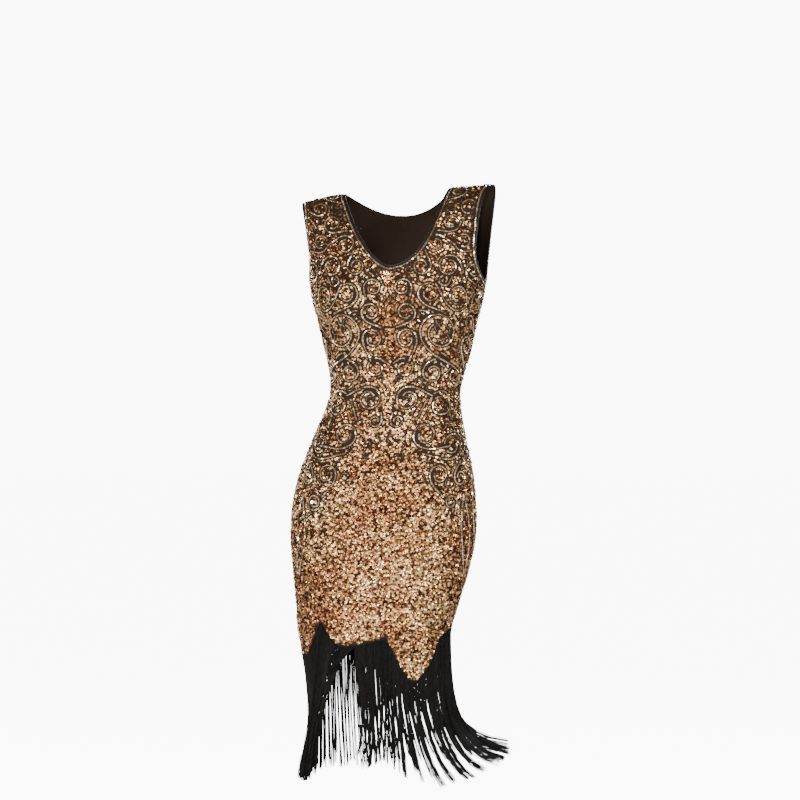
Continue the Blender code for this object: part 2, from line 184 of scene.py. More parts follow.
# Soft creases in the worn cloth. Each runs from one turn and height to another. A depth over 0 is a
# ridge and a depth under 0 a trough. All are shallow, because the dress fits closely.
Crease = namedtuple("Crease", "turn height end_turn end_height width depth")
CREASES = (
    # drawn in at the left of the waist
    Crease(82, -0.330, 40, -0.352, 0.011, -0.0036),
    Crease(78, -0.349, 30, -0.374, 0.009, 0.0033),
    Crease(84, -0.366, 46, -0.392, 0.010, -0.0040),
    Crease(70, -0.398, 36, -0.424, 0.012, 0.0026),
    # drawn in at the right of the waist
    Crease(-84, -0.338, -44, -0.346, 0.010, -0.0033),
    Crease(-80, -0.356, -34, -0.368, 0.009, 0.0033),
    Crease(-76, -0.378, -50, -0.396, 0.011, -0.0030),
    # from the armholes towards the bust
    Crease(64, -0.178, 40, -0.214, 0.010, -0.0026),
    Crease(-66, -0.182, -44, -0.222, 0.011, -0.0030),
    Crease(-58, -0.236, -28, -0.262, 0.013, 0.0023),
    # under the bust
    Crease(22, -0.256, -6, -0.268, 0.014, -0.0023),
    # the skirt is drawn across towards the right knee
    Crease(58, -0.640, -8, -0.716, 0.016, 0.0030),
    Crease(46, -0.690, -20, -0.766, 0.014, -0.0033),
    Crease(30, -0.742, -28, -0.796, 0.013, 0.0026),
    Crease(-84, -0.610, -48, -0.662, 0.015, -0.0030),
    Crease(-80, -0.668, -40, -0.716, 0.013, 0.0030),
    Crease(-74, -0.712, -52, -0.758, 0.012, -0.0023),
    # the hollow of the back
    Crease(118, -0.332, 172, -0.348, 0.011, -0.0036),
    Crease(126, -0.352, 182, -0.371, 0.010, 0.0036),
    Crease(112, -0.374, 160, -0.394, 0.011, -0.0033),
    Crease(238, -0.336, 190, -0.352, 0.010, -0.0033),
    Crease(246, -0.356, 196, -0.380, 0.011, 0.0033),
    Crease(232, -0.386, 204, -0.404, 0.010, -0.0026),
    # under the seat
    Crease(136, -0.684, 176, -0.704, 0.015, -0.0030),
    Crease(228, -0.690, 186, -0.712, 0.014, -0.0026),
    Crease(120, -0.196, 140, -0.242, 0.012, -0.0023),
    Crease(240, -0.200, 222, -0.250, 0.012, -0.0023),
)
CREASE_STEPS = 24  # points along each
CREASE_REACH = 3.0  # widths from a crease to where it no longer shows


def section_at(height):
    """The section's columns at any heights, on smooth curves through the table's rows."""
    table = np.array(SECTIONS)[::-1]
    knots, rows = table[:, 0], table[:, 1:]
    slopes = np.gradient(rows, knots, axis=0)
    height = np.clip(np.asarray(height, float), knots[0], knots[-1])
    low = np.clip(np.searchsorted(knots, height) - 1, 0, len(knots) - 2)
    step = (knots[low + 1] - knots[low])[..., None]
    share = (height - knots[low])[..., None] / step
    square, cube = share**2, share**3
    values = (
        rows[low] * (2 * cube - 3 * square + 1)
        + slopes[low] * step * (cube - 2 * square + share)
        + rows[low + 1] * (3 * square - 2 * cube)
        + slopes[low + 1] * step * (cube - square)
    )
    return np.moveaxis(values, -1, 0)


def across_and_forward(turn, height):
    """Where a turn round the tube lies in its own section, from the section's middle."""
    _, _, half_width, front_depth, back_depth, _ = section_at(height)
    angle = np.radians(turn)
    fuller = SQUARENESS * np.sin(2 * angle)
    across = half_width * np.sin(angle + fuller)
    forward = np.cos(angle - fuller)
    return across, forward * np.where(forward > 0, front_depth, back_depth)


def placed(across, forward, height):
    """World points, from places in their own sections."""
    middle_x, middle_y, _, _, _, turned = section_at(height)
    angle = np.radians(turned)
    x = middle_x + across * np.cos(angle) - forward * np.sin(angle)
    y = middle_y - across * np.sin(angle) - forward * np.cos(angle)
    return np.stack(np.broadcast_arrays(x, y, height), -1)


def tube_point(turn, height):
    """World points on the outside of the dress below the chest line."""
    return placed(*across_and_forward(turn, height), height)


def unit(vectors):
    """The same directions with a length of 1."""
    return vectors / np.maximum(np.linalg.norm(vectors, axis=-1, keepdims=True), TINY)


def mix(start, end, share):
    """A value between two others."""
    return start + (end - start) * share


def smooth(share):
    """A share that leaves 0 and reaches 1 gently."""
    return share**2 * (3 - 2 * share)


def bezier(start, first_pull, second_pull, end, share):
    """A value on a Bezier curve."""
    rest = 1 - share
    pulls = 3 * rest**2 * share * first_pull + 3 * rest * share**2 * second_pull
    return rest**3 * start + pulls + share**3 * end


def chest_height(side_share):
    """The chest line: 0 is the centre front or back, 1 a side seam."""
    return mix(CHEST_CENTRE, CHEST_SIDE, smooth(side_share))


def hem_height(turn):
    """The height of the hem round the dress."""
    corners = (*HEM, HEM[0]._replace(turn=HEM[0].turn + 360))
    turns, heights, rounded = np.array(corners).T
    slopes = np.where(rounded, 0, SHARP_SLOPE)
    turn = (np.asarray(turn, float) - turns[0]) % 360 + turns[0]
    low = np.clip(np.searchsorted(turns, turn, side="right") - 1, 0, len(turns) - 2)
    share = (turn - turns[low]) / (turns[low + 1] - turns[low])
    square, cube = share**2, share**3
    leaving = (cube - 2 * square + share) * slopes[low]
    arriving = (cube - square) * slopes[low + 1]
    return mix(heights[low], heights[low + 1], 3 * square - 2 * cube + leaving + arriving)


def yoke_profile(face, side, side_share, rise):
    """Forward and height of the cloth above the chest line."""
    foot = chest_height(side_share)
    turn = 90 * side_share if face > 0 else 180 - 90 * side_share
    foot_forward = abs(across_and_forward(turn, foot)[1])
    slope = (abs(across_and_forward(turn, foot + SLOPE_STEP)[1]) - foot_forward) / SLOPE_STEP
    top = SHOULDER_TIP[side] * np.sin(np.pi / 2 * side_share) ** 2
    pull = CHEST_PULL * (top - foot)
    forward = bezier(foot_forward, foot_forward + slope * pull, SHOULDER_PULL, GAP / 2, rise)
    return np.maximum(forward, GAP / 2), bezier(foot, foot + pull, top, top, rise)


def yoke_half_width(side, side_share, rise):
    """The half width of the whole yoke, which starts as the tube's own at the chest line."""
    foot = chest_height(side_share)
    at_foot, above = (section_at(foot + up)[2] for up in (0, SLOPE_STEP))
    pull = CHEST_PULL * (SHOULDER_TIP[side] - foot)
    first = at_foot + (above - at_foot) / SLOPE_STEP * pull
    return bezier(at_foot, first, YOKE_SWELL, YOKE_HALF_WIDTH, rise)


def neck_share(face, side, rise):
    """The share of the quarter, from the centre to the side, that the neck takes at each row."""
    neck = NECKS[face, side]
    centre_height = yoke_profile(face, side, 0.0, rise)[1]
    open_share = np.clip(1 - centre_height / neck.foot, 0, 1)
    opening = NECK_HALF_WIDTH * np.where(open_share > CLOSED, open_share, 0) ** neck.power
    return np.arcsin(opening / yoke_half_width(side, 0.0, rise)) / (np.pi / 2)


def armhole_share(face, side, rise):
    """The share of the quarter that is left inside the armhole's edge at each row."""
    armhole = ARMHOLES[face, side]
    below_round = 1 - np.minimum(rise / ARMHOLE_ROUND, 1)
    left = 1 - armhole.cut_away * np.sqrt(1 - below_round**2)
    return left + (armhole.left_at_shoulder - 1 + armhole.cut_away) * rise**armhole.flare


def yoke_point(face, side, side_share, rise):
    """World points above the chest line, on the whole yoke before the openings are cut out."""
    forward, height = yoke_profile(face, side, side_share, rise)
    plain = np.radians(90 * side_share)
    fuller = plain + SQUARENESS * np.sin(2 * plain)
    angle = mix(fuller, plain, smooth(np.minimum(rise / TUBE_FADE, 1)))
    across = yoke_half_width(side, side_share, rise) * np.sin(angle)
    return placed(side * across, face * forward, height)


# ---------------------------------------------------------------- the panels, worn and laid flat

COLUMN = 2.6  # degrees between columns of points, at most
BODY_ROWS = 104  # from the hem to the chest line
YOKE_ROWS = {1: (0, 46), -1: (20, 26)}  # rows below the foot of the neck and above it
ROW_CROWDING = {1: 1.8, -1: 2.0}  # over 1 the rows lie closer at the foot of the neck
LENGTH_STEPS = 40  # for measuring along the cloth
BEZIER_SAMPLES = 2001  # for finding the row that meets the foot of the neck
NET_INSET = 0.0007  # the net's face lies this far inside the sequins' middle
NET_THICKNESS = 0.0009
FINE_STEP = 0.001  # between points of an outline or a beaded line, laid flat

# The halves of both panels by face and side, in their order round the dress, and where each starts
QUARTERS = {(1, -1): -90, (1, 1): 0, (-1, 1): 90, (-1, -1): 180}


def yoke_rises(face):
    """The rows of the yoke, with one at the foot of the neck."""
    below, above = YOKE_ROWS[face]
    samples = np.linspace(0, 1, BEZIER_SAMPLES)
    foot = np.interp(NECKS[face, 1].foot, yoke_profile(face, 1, 0.0, samples)[1], samples)
    from_foot = foot + (1 - foot) * np.linspace(0, 1, above + 1) ** ROW_CROWDING[face]
    return np.array([*np.linspace(0, foot, below + 1)[:-1], *from_foot])


def half_turns(face, side):
    """The columns of half a panel, from low to high turns, with one at each hem corner."""
    start = QUARTERS[face, side]
    corners = [c.turn + lap for c in HEM for lap in (0, 360) if start < c.turn + lap < start + 90]
    corners = sorted([start, *corners, start + 90])
    turns = [corners[0]]
    for low, high in zip(corners, corners[1:]):
        turns.extend(np.linspace(low, high, int(np.ceil((high - low) / COLUMN)) + 1)[1:])
    return np.array(turns)


def walked(points, axes=slice(None)):
    """Lengths walked from the first row of points to the last."""
    return np.linalg.norm(np.diff(points[..., axes], axis=0), axis=-1).sum(0)


def distances(path):
    """How far along a path each of its points is."""
    return np.concatenate([[0], np.cumsum(np.linalg.norm(np.diff(path, axis=0), axis=1))])


def read_off(at, knots, rows):
    """Rows of values read off at any places between their knots."""
    return np.stack([np.interp(at, knots, column) for column in rows.T], -1)


@cache
def crease_lines():
    """Each crease as points on the plain cloth, with its width and its depth along them."""
    lines = []
    steps = np.linspace(0, 1, CREASE_STEPS)
    for crease in CREASES:
        turns = mix(crease.turn, crease.end_turn, steps)
        heights = mix(crease.height, crease.end_height, steps)
        lines.append((tube_point(turns, heights), crease.width, crease.depth * np.sin(np.pi * steps)))
    return lines


def creased(points, out):
    """The points moved in or out by the creases near them."""
    plain, facing = points.reshape(-1, 3), out.reshape(-1, 3)
    moved = plain.copy()
    for line, width, depth in crease_lines():
        low, high = line.min(0) - CREASE_REACH * width, line.max(0) + CREASE_REACH * width
        near = np.flatnonzero(((plain > low) & (plain < high)).all(1))
        apart = np.linalg.norm(plain[near][:, None] - line[None], axis=2)
        push = depth[apart.argmin(1)] * np.exp(-((apart.min(1) / width) ** 2))
        moved[near] += facing[near] * push[:, None]
    return moved.reshape(points.shape)


def facing_out(grid):
    """Which way a grid of points faces. Rows go up and columns go round."""
    return unit(np.cross(np.gradient(grid, axis=1), np.gradient(grid, axis=0)))


Half = namedtuple("Half", "turns worn out flat")


@cache
def half_panel(face, side):
    """Half a panel as grids: its worn points, which way they face, and its points laid flat.

    Laid flat, a point's first number is how far round from the centre it is, to the right as seen from
    outside. Its second is its height, or above the chest line its length up the cloth from there.
    """
    turns = half_turns(face, side)
    centre = 0 if face > 0 else 180
    side_share = abs(turns - centre) / 90
    heights = mix(hem_height(turns), chest_height(side_share), np.linspace(0, 1, BODY_ROWS + 1)[:, None])
    across, forward = across_and_forward(turns, heights)
    body = placed(across, face * np.maximum(face * forward, GAP / 2), heights)
    steps = np.linspace(0, 1, LENGTH_STEPS)[:, None, None]
    round_body = walked(tube_point(mix(centre, turns, steps), heights + 0 * steps), slice(2))

    rises = yoke_rises(face)[1:, None]
    shares = mix(neck_share(face, side, rises), armhole_share(face, side, rises), side_share)
    yoke = yoke_point(face, side, shares, rises)
    round_yoke = walked(yoke_point(face, side, shares * steps, rises), slice(2))
    up_yoke = walked(yoke_point(face, side, shares + 0 * steps, rises * steps))

    worn = np.concatenate([body, yoke])
    worn = creased(worn, facing_out(worn))
    round_it = np.concatenate([round_body, round_yoke]) * side * face
    up = np.concatenate([heights, chest_height(shares) + up_yoke])
    return Half(turns, worn, facing_out(worn), np.stack([round_it, up], -1))


def grid_faces(rows, columns, first=0, ring=False):
    """The quads of a grid, looking out, as rows of four point numbers."""
    row, column = np.mgrid[0 : rows - 1, 0 : columns if ring else columns - 1]
    after = (column + 1) % columns
    corners = [row * columns + column, row * columns + after]
    corners += [(row + 1) * columns + after, (row + 1) * columns + column]
    return first + np.stack(corners, -1).reshape(-1, 4)


class Cloth:
    """One whole panel. `carry` takes places on the flat cloth over to the worn one."""

    def __init__(self, face):
        halves = [half_panel(face, side) for side in (-face, face)]
        faces, first = [], 0
        for half in halves:
            faces.append(grid_faces(*half.worn.shape[:2], first))
            first += half.worn[..., 0].size
        self.faces = np.concatenate(faces)
        self.worn = np.concatenate([half.worn.reshape(-1, 3) for half in halves])
        self.out = np.concatenate([half.out.reshape(-1, 3) for half in halves])
        self.flat = np.concatenate([half.flat.reshape(-1, 2) for half in halves])
        self.triangles = np.concatenate([self.faces[:, [0, 1, 2]], self.faces[:, [0, 2, 3]]])
        table = np.column_stack([self.flat, np.zeros(len(self.flat))])
        self.tree = BVHTree.FromPolygons(table.tolist(), self.triangles.tolist())

    def carry(self, places):
        """Worn points and ways out for flat places, and which of the places are on the cloth."""
        down = (0.0, 0.0, -1.0)
        found = [self.tree.ray_cast((across, up, 1.0), down)[2] for across, up in places]
        on = np.array([index is not None for index in found], bool)
        corners = self.triangles[[0 if index is None else index for index in found]]
        a, b, c = (self.flat[corners[:, k]] for k in range(3))
        share_b = turned_area(places - a, c - a) / turned_area(b - a, c - a)
        share_c = turned_area(b - a, places - a) / turned_area(b - a, c - a)
        shares = np.stack([1 - share_b - share_c, share_b, share_c], -1)[..., None]
        worn = (self.worn[corners] * shares).sum(1)
        return worn, unit((self.out[corners] * shares).sum(1)), on


def turned_area(first, second):
    """The signed area between pairs of flat directions."""
    return first[:, 0] * second[:, 1] - first[:, 1] * second[:, 0]


@cache
def cloth(face):
    """The front panel, 1, or the back panel, -1."""
    return Cloth(face)


def share_column(face, side, share):
    """The number of the column at the neck's edge, share 0, or at the armhole's, share 1."""
    return 0 if (share == 0) == (side == face) else -1


def opening_edge(field, face, side, share):
    """The edge of the neck or of an armhole on half a panel, from its foot to the shoulder."""
    foot = BODY_ROWS + (YOKE_ROWS[face][0] if share == 0 else 0)
    return getattr(half_panel(face, side), field)[foot:, share_column(face, side, share)]


def finely(path, step=FINE_STEP):
    """A path as evenly spaced points, with their lengths along it."""
    lengths = distances(path)
    even = np.linspace(0, lengths[-1], max(int(lengths[-1] / step), 1) + 1)
    return read_off(even, lengths, path), even


def nearest(points, places):
    """How far each flat place is from the nearest of some flat points."""
    tree = KDTree(len(points))
    for index, point in enumerate(points):
        tree.insert((*point, 0.0), index)
    tree.balance()
    return np.array([tree.find((*place, 0.0))[2] for place in places])


@cache
def raw_edges(face):
    """Points along a flat panel's hem, neck and armholes."""
    edges = []
    for side in (-1, 1):
        edges += [half_panel(face, side).flat[0]]
        edges += [opening_edge("flat", face, side, share) for share in (0, 1)]
    return np.concatenate([finely(edge)[0] for edge in edges])


# ---------------------------------------------------------------- the beaded scrolls

BEAD_CLEAR = 0.0062  # between the middles of beads of two lines
BEAD_ENDS = (-0.47, 0.47)  # where a bead starts and stops, in pitches from its middle
SCROLL_STEPS = 60  # points along each part of a beaded line
CENTIMETRES = 100  # in a metre

# Each scroll is set out on half the flat panel and mirrored to the other half. It winds in from its
# radius round its eye, anticlockwise if its turns are over 0. Its tail leaves the round where it says,
# in degrees from across, and then unbends to so many degrees a centimetre; under 0 it bends back.
Scroll = namedtuple("Scroll", "across up radius leaves turns tail tail_bend")
FRONT_SCROLLS = (
    # ribs
    Scroll(0.092, -0.266, 0.036, 178, -1.15, 0.120, -6),
    Scroll(0.031, -0.278, 0.019, 20, 1.0, 0.050, -16),
    Scroll(0.158, -0.290, 0.019, 160, -1.0, 0.050, -10),
    # bust
    Scroll(0.130, -0.202, 0.025, 250, 1.1, 0.060, -12),
    Scroll(0.076, -0.196, 0.021, 200, -1.1, 0.060, -14),
    Scroll(0.027, -0.186, 0.017, 10, 1.0, 0.026, -20),
    Scroll(0.032, -0.230, 0.018, 330, 1.0, 0.040, -16),
    Scroll(0.184, -0.214, 0.020, 120, 1.0, 0.050, -14),
    Scroll(0.162, -0.152, 0.019, 210, -1.0, 0.040, -16),
    # between the neck and the armholes
    Scroll(0.110, -0.146, 0.021, 60, 1.1, 0.050, -18),
    Scroll(0.060, -0.146, 0.017, 350, -1.0, 0.036, -18),
    Scroll(0.083, -0.104, 0.018, 100, 1.0, 0.046, -16),
    Scroll(0.135, -0.100, 0.018, 240, -1.0, 0.040, -16),
    Scroll(0.110, -0.062, 0.018, 300, 1.0, 0.040, -16),
    Scroll(0.140, -0.030, 0.016, 260, -1.0, 0.036, -16),
    Scroll(0.118, 0.008, 0.015, 330, 1.0, 0.036, -16),
    # waist
    Scroll(0.026, -0.330, 0.018, 90, -1.0, 0.030, -10),
    Scroll(0.078, -0.338, 0.019, 160, 1.0, 0.044, -10),
    Scroll(0.128, -0.344, 0.018, 80, -1.0, 0.050, -10),
    # small ones between
    Scroll(0.060, -0.238, 0.012, 90, 1.0, 0.022, -20),
    Scroll(0.162, -0.248, 0.014, 60, 1.0, 0.030, -16),
    Scroll(0.160, -0.336, 0.012, 120, 1.0, 0.024, -16),
    Scroll(0.100, -0.318, 0.011, 30, -1.0, 0.020, -20),
    Scroll(0.102, -0.172, 0.011, 300, -1.0, 0.020, -20),
)
BACK_SCROLLS = (
    # straps and shoulder blades
    Scroll(0.122, 0.008, 0.015, 330, 1.0, 0.036, -16),
    Scroll(0.150, -0.024, 0.017, 250, -1.0, 0.040, -16),
    Scroll(0.100, -0.054, 0.023, 130, 1.1, 0.080, -8),
    Scroll(0.156, -0.082, 0.020, 240, -1.0, 0.060, -12),
    Scroll(0.030, -0.090, 0.020, 350, 1.0, 0.060, -14),
    Scroll(0.088, -0.114, 0.021, 200, -1.0, 0.060, -12),
    Scroll(0.138, -0.138, 0.022, 80, 1.0, 0.060, -12),
    Scroll(0.030, -0.150, 0.020, 60, -1.0, 0.050, -12),
    Scroll(0.184, -0.130, 0.017, 300, 1.0, 0.050, -12),
    # the middle of the back
    Scroll(0.084, -0.176, 0.024, 330, 1.1, 0.060, -12),
    Scroll(0.166, -0.194, 0.021, 130, -1.0, 0.050, -12),
    Scroll(0.030, -0.210, 0.018, 30, 1.0, 0.050, -12),
    Scroll(0.112, -0.250, 0.034, 0, 1.15, 0.110, -6),
    Scroll(0.046, -0.264, 0.021, 160, -1.0, 0.080, -8),
    Scroll(0.066, -0.314, 0.018, 10, 1.0, 0.040, -10),
    # waist
    Scroll(0.024, -0.330, 0.016, 90, -1.0, 0.030, -10),
    Scroll(0.112, -0.330, 0.020, 90, 1.0, 0.040, -10),
    # small ones between
    Scroll(0.064, -0.064, 0.012, 60, -1.0, 0.024, -18),
    Scroll(0.126, -0.206, 0.012, 200, 1.0, 0.024, -18),
    Scroll(0.070, -0.222, 0.012, 320, -1.0, 0.024, -18),
    Scroll(0.154, -0.300, 0.013, 40, 1.0, 0.030, -16),
    Scroll(0.080, -0.350, 0.012, 250, 1.0, 0.022, -18),
)
SKIRT_SCROLLS = (
    # hips
    Scroll(0.036, -0.386, 0.022, 120, 1.1, 0.060, -8),
    Scroll(0.098, -0.396, 0.025, 100, -1.1, 0.070, -8),
    Scroll(0.154, -0.408, 0.020, 60, 1.0, 0.080, -6),
    Scroll(0.074, -0.452, 0.022, 200, -1.1, 0.080, -7),
    Scroll(0.130, -0.470, 0.023, 340, 1.1, 0.090, -7),
    Scroll(0.104, -0.524, 0.018, 150, -1.0, 0.060, -8),
    Scroll(0.150, -0.528, 0.015, 200, 1.0, 0.040, -10),
    Scroll(0.020, -0.426, 0.012, 200, 1.0, 0.020, -16),
    Scroll(0.172, -0.456, 0.013, 100, -1.0, 0.030, -12),
    Scroll(0.128, -0.574, 0.013, 30, 1.0, 0.030, -12),
)
SCROLLS = {1: FRONT_SCROLLS + SKIRT_SCROLLS, -1: BACK_SCROLLS + SKIRT_SCROLLS}
EYE = 0.50  # share of the radius at which a scroll ends

# Long narrow leaves run down beside the side seams. Each hangs from its tip and leans out by so much.
Leaf = namedtuple("Leaf", "across up length width lean")
LEAVES = (
    Leaf(0.158, -0.560, 0.150, 0.024, 0.010),
    Leaf(0.194, -0.500, 0.180, 0.022, 0.014),
)
EDGE_ROW = 0.0042  # from a raw edge to the middle of the row of beads along it
EDGE_CLEAR = 0.0030  # how close to a raw edge a bead may be


def on_circle(angle):
    """Flat places on a circle with a radius of 1."""
    return np.stack([np.cos(angle), np.sin(angle)], -1)


def scroll_path(scroll, mirror):
    """The flat points of one beaded line, from the end of its tail to its eye."""
    hand = np.sign(scroll.turns)
    wound = np.linspace(0, 1, SCROLL_STEPS)
    angle = np.radians(scroll.leaves + 360 * scroll.turns * wound)
    radius = scroll.radius * mix(1, EYE, wound)
    winding = on_circle(angle) * radius[:, None]
    along, step = np.linspace(0, scroll.tail, SCROLL_STEPS, retstep=True)
    bends = mix(1 / scroll.radius, np.radians(scroll.tail_bend) * CENTIMETRES, along / scroll.tail)
    heading = np.radians(scroll.leaves) - hand * (np.pi / 2 + (np.cumsum(bends) - bends[0]) * step)
    steps = on_circle(heading) * step
    tail = winding[0] + np.cumsum(steps, axis=0) - steps[0]
    path = np.concatenate([tail[:0:-1], winding]) + (scroll.across, scroll.up)
    return path * (mirror, 1)


def leaf_path(leaf, mirror):
    """The flat points of a leaf's outline, from its tip down one side and up the other."""
    down = np.linspace(0, 1, SCROLL_STEPS)
    belly = leaf.width / 2 * np.sin(np.pi * down)
    across, up = leaf.across + leaf.lean * down, leaf.up - leaf.length * down
    sides = [np.stack([across + hand * belly, up], -1) for hand in (-1, 1)]
    return np.concatenate([sides[0], sides[1][::-1]]) * (mirror, 1)


def beside(path, distance):
    """A flat path moved sideways, to its right."""
    ahead = unit(np.gradient(path, axis=0))
    return path + np.stack([ahead[:, 1], -ahead[:, 0]], -1) * distance


def edge_row_paths(face):
    """The flat points of the rows of beads inside the edges of the neck and the armholes."""
    rows = {}
    for side in (-1, 1):
        for share, inwards in ((0, 1), (1, -1)):
            edge = finely(opening_edge("flat", face, side, share))[0]
            rows[side, share] = beside(edge, EDGE_ROW * side * face * inwards)
    return [np.concatenate([rows[-1, 0][::-1], rows[1, 0]]), rows[-1, 1], rows[1, 1]]


def bead_paths(face):
    """The flat points of all the beaded lines on a panel, the most important first."""
    lines = [scroll_path(scroll, mirror) for scroll in SCROLLS[face] for mirror in (-1, 1)]
    return edge_row_paths(face) + lines + [leaf_path(leaf, mirror) for leaf in LEAVES for mirror in (-1, 1)]


def bead_places(path, length):
    """The flat ends of the beads that a path has room for."""
    fine, lengths = finely(path)
    count = int(lengths[-1] / length)
    ends = [(np.arange(count) + 0.5 + end) * lengths[-1] / max(count, 1) for end in BEAD_ENDS]
    return [read_off(end, lengths, fine) for end in ends]


@cache
def bead_rows(face, length):
    """The flat ends of all the beads on a panel. A line stops where it would meet an earlier one."""
    starts, stops = np.empty((0, 2)), np.empty((0, 2))
    for path in bead_paths(face):
        start, stop = bead_places(path, length)
        middle = (start + stop) / 2
        if len(starts):
            free = nearest((starts + stops) / 2, middle) > BEAD_CLEAR
            start, stop, middle = start[free], stop[free], middle[free]
        if len(start):
            inside = nearest(raw_edges(face), middle) > EDGE_CLEAR
            starts = np.concatenate([starts, start[inside]])
            stops = np.concatenate([stops, stop[inside]])
    return starts, stops


# The small curls fill what the scrolls leave bare, more of them towards the top.
CURL_SPACING = 0.0175
CURL_JITTER = 0.3  # how far each is from its even place, in spacings
CURL_CENTRE = 0.010  # how clear the middle of a panel is kept
CURL_CLEAR = 0.0085  # from a curl's middle to the pale beads and the raw edges
SEED_CLEAR = 0.7 * BEAD_CLEAR  # from the seed beads of a curl to the pale beads
CURL_RADIUS = (0.0050, 0.0075)
CURL_TURN = np.radians(260)
CURLS_BELOW = -0.56  # where they end
CURLS_THIN = -0.36  # where they start to thin out
CURLS_ASIDE = 0.09  # how far out from the middle of the skirt they thin out least
CURL_FADES = (1.3, 0.8)  # how fast they thin out, at the middle of the skirt and aside
CURL_SEED = 70  # starts their random draws


@cache
def curl_paths(face, length):
    """The flat points of the small dark curls on a panel."""
    random = np.random.default_rng(CURL_SEED + face)
    high = cloth(face).flat.max(0)
    across, up = np.arange(0, high[0], CURL_SPACING), np.arange(CURLS_BELOW, high[1], CURL_SPACING)
    places = np.stack(np.meshgrid(across, up), -1).reshape(-1, 2)
    places += random.uniform(-CURL_JITTER, CURL_JITTER, places.shape) * CURL_SPACING
    chance = np.clip((places[:, 1] - CURLS_BELOW) / (CURLS_THIN - CURLS_BELOW), 0, 1)
    chance **= mix(*CURL_FADES, smooth(np.clip(places[:, 0] / CURLS_ASIDE, 0, 1)))
    places = places[random.random(len(places)) < chance]
    starts, stops = bead_rows(face, length)
    taken = np.concatenate([starts, stops])
    places = places[(nearest(taken, places) > CURL_CLEAR) & (places[:, 0] > CURL_CENTRE)]
    places = places[nearest(raw_edges(face), places) > CURL_CLEAR]
    paths = []
    for place in places:
        angle = random.uniform(0, WHOLE_TURN) + np.linspace(0, CURL_TURN, SCROLL_STEPS)
        path = on_circle(angle) * random.uniform(*CURL_RADIUS)
        paths += [(place + path) * (mirror, 1) for mirror in (-1, 1)]
    return paths


@cache
def curl_rows(face, length, seed_length):
    """The flat ends of the seed beads of all the curls on a panel."""
    ends = [bead_places(path, seed_length) for path in curl_paths(face, length)]
    starts, stops = (np.concatenate(end) for end in zip(*ends))
    scrolls = np.concatenate(bead_rows(face, length))
    middle = (starts + stops) / 2
    free = (nearest(scrolls, middle) > SEED_CLEAR) & (nearest(raw_edges(face), middle) > EDGE_CLEAR)
    return starts[free], stops[free]


# ---------------------------------------------------------------- meshes

MAP_MARGIN = 0.08  # left round each small thing's own square of the flat map
NO_THREADS_WAY = (0.31, 0.17, 0.93)  # no thread runs straight along this


def new_piece(name, points, faces, node, smooth=False):
    """A mesh object made of points and faces, in place of a node of the frame."""
    data = bpy.data.meshes.new(name)
    data.from_pydata(points, [], faces, shade_flat=not smooth)
    piece = bpy.data.objects.new(name, data)
    bpy.context.scene.collection.objects.link(piece)
    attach(piece, "root")
    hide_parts(node)
    return piece


def add_values(piece, name, values):
    """Stores a number at each point for the material to read."""
    layer = piece.data.attributes.new(name, "FLOAT", "POINT")
    layer.data.foreach_set("value", np.ascontiguousarray(values, np.float32))


def add_flat_map(piece, name, places):
    """Stores flat places, one for each corner of each face."""
    layer = piece.data.uv_layers.new(name=name)
    layer.uv.foreach_set("vector", np.ascontiguousarray(places, np.float32).ravel())


def scattered(name, shapes, template, corner_places, node, smooth=False):
    """Many small things of one kind as one mesh.

    Shapes holds the points of each thing, template its faces, and corner_places where each corner of
    each face lies on the thing's own square of the flat map that all of them share.
    """
    count, size, _ = shapes.shape
    faces = (np.arange(count)[:, None, None] * size + template[None]).reshape(-1, template.shape[1])
    piece = new_piece(name, shapes.reshape(-1, 3), faces, node, smooth)
    across = int(np.ceil(np.sqrt(count)))
    cells = np.stack([np.arange(count) % across, np.arange(count) // across], -1)
    places = MAP_MARGIN + corner_places.reshape(-1, 2) * (1 - 2 * MAP_MARGIN)
    add_flat_map(piece, "OFBake", (cells[:, None] + places[None]) / across)
    return piece


def frame_on(out, ahead):
    """Ways along and across the cloth at each point, from ways out and ways roughly ahead."""
    along = unit(ahead - (ahead * out).sum(-1, keepdims=True) * out)
    return along, np.cross(out, along)


def even_angles(count):
    """Angles that divide a whole turn evenly."""
    return np.arange(count) * WHOLE_TURN / count


def around(first, second, angle):
    """Directions round each point, at any angles from the first way towards the second."""
    first, second = first[..., None, :], second[..., None, :]
    return first * np.cos(angle)[..., None] + second * np.sin(angle)[..., None]


def tube_template(rings, sides):
    """The quads of a tube and where their corners lie when it is unrolled."""
    row, side = (part.ravel() for part in np.mgrid[0 : rings - 1, 0:sides])
    places = np.stack([[side, row], [side + 1, row], [side + 1, row + 1], [side, row + 1]])
    return grid_faces(rings, sides, ring=True), places.transpose(2, 0, 1) / (sides, rings - 1)


# ---------------------------------------------------------------- panels of net

def add_panel(name, node, face):
    """One panel of black net, whole, with a thin wall inside its face."""
    panel = cloth(face)
    piece = new_piece(name, panel.worn - panel.out * NET_INSET, panel.faces, node, True)
    add_flat_map(piece, "weave", panel.flat[panel.faces.ravel()])
    weld = piece.modifiers.new("centre fold", "WELD")
    weld.merge_threshold = GAP / 2
    add_wall(piece, NET_THICKNESS)
    return piece


def add_wall(piece, thickness):
    """Gives cloth its thickness, inside its face."""
    wall = piece.modifiers.new("wall", "SOLIDIFY")
    wall.thickness = thickness
    wall.offset = -1


def declare_panel(face):
    """Works out a panel's cloth, worn and laid flat."""
    panel = cloth(face)


# ---------------------------------------------------------------- sequins

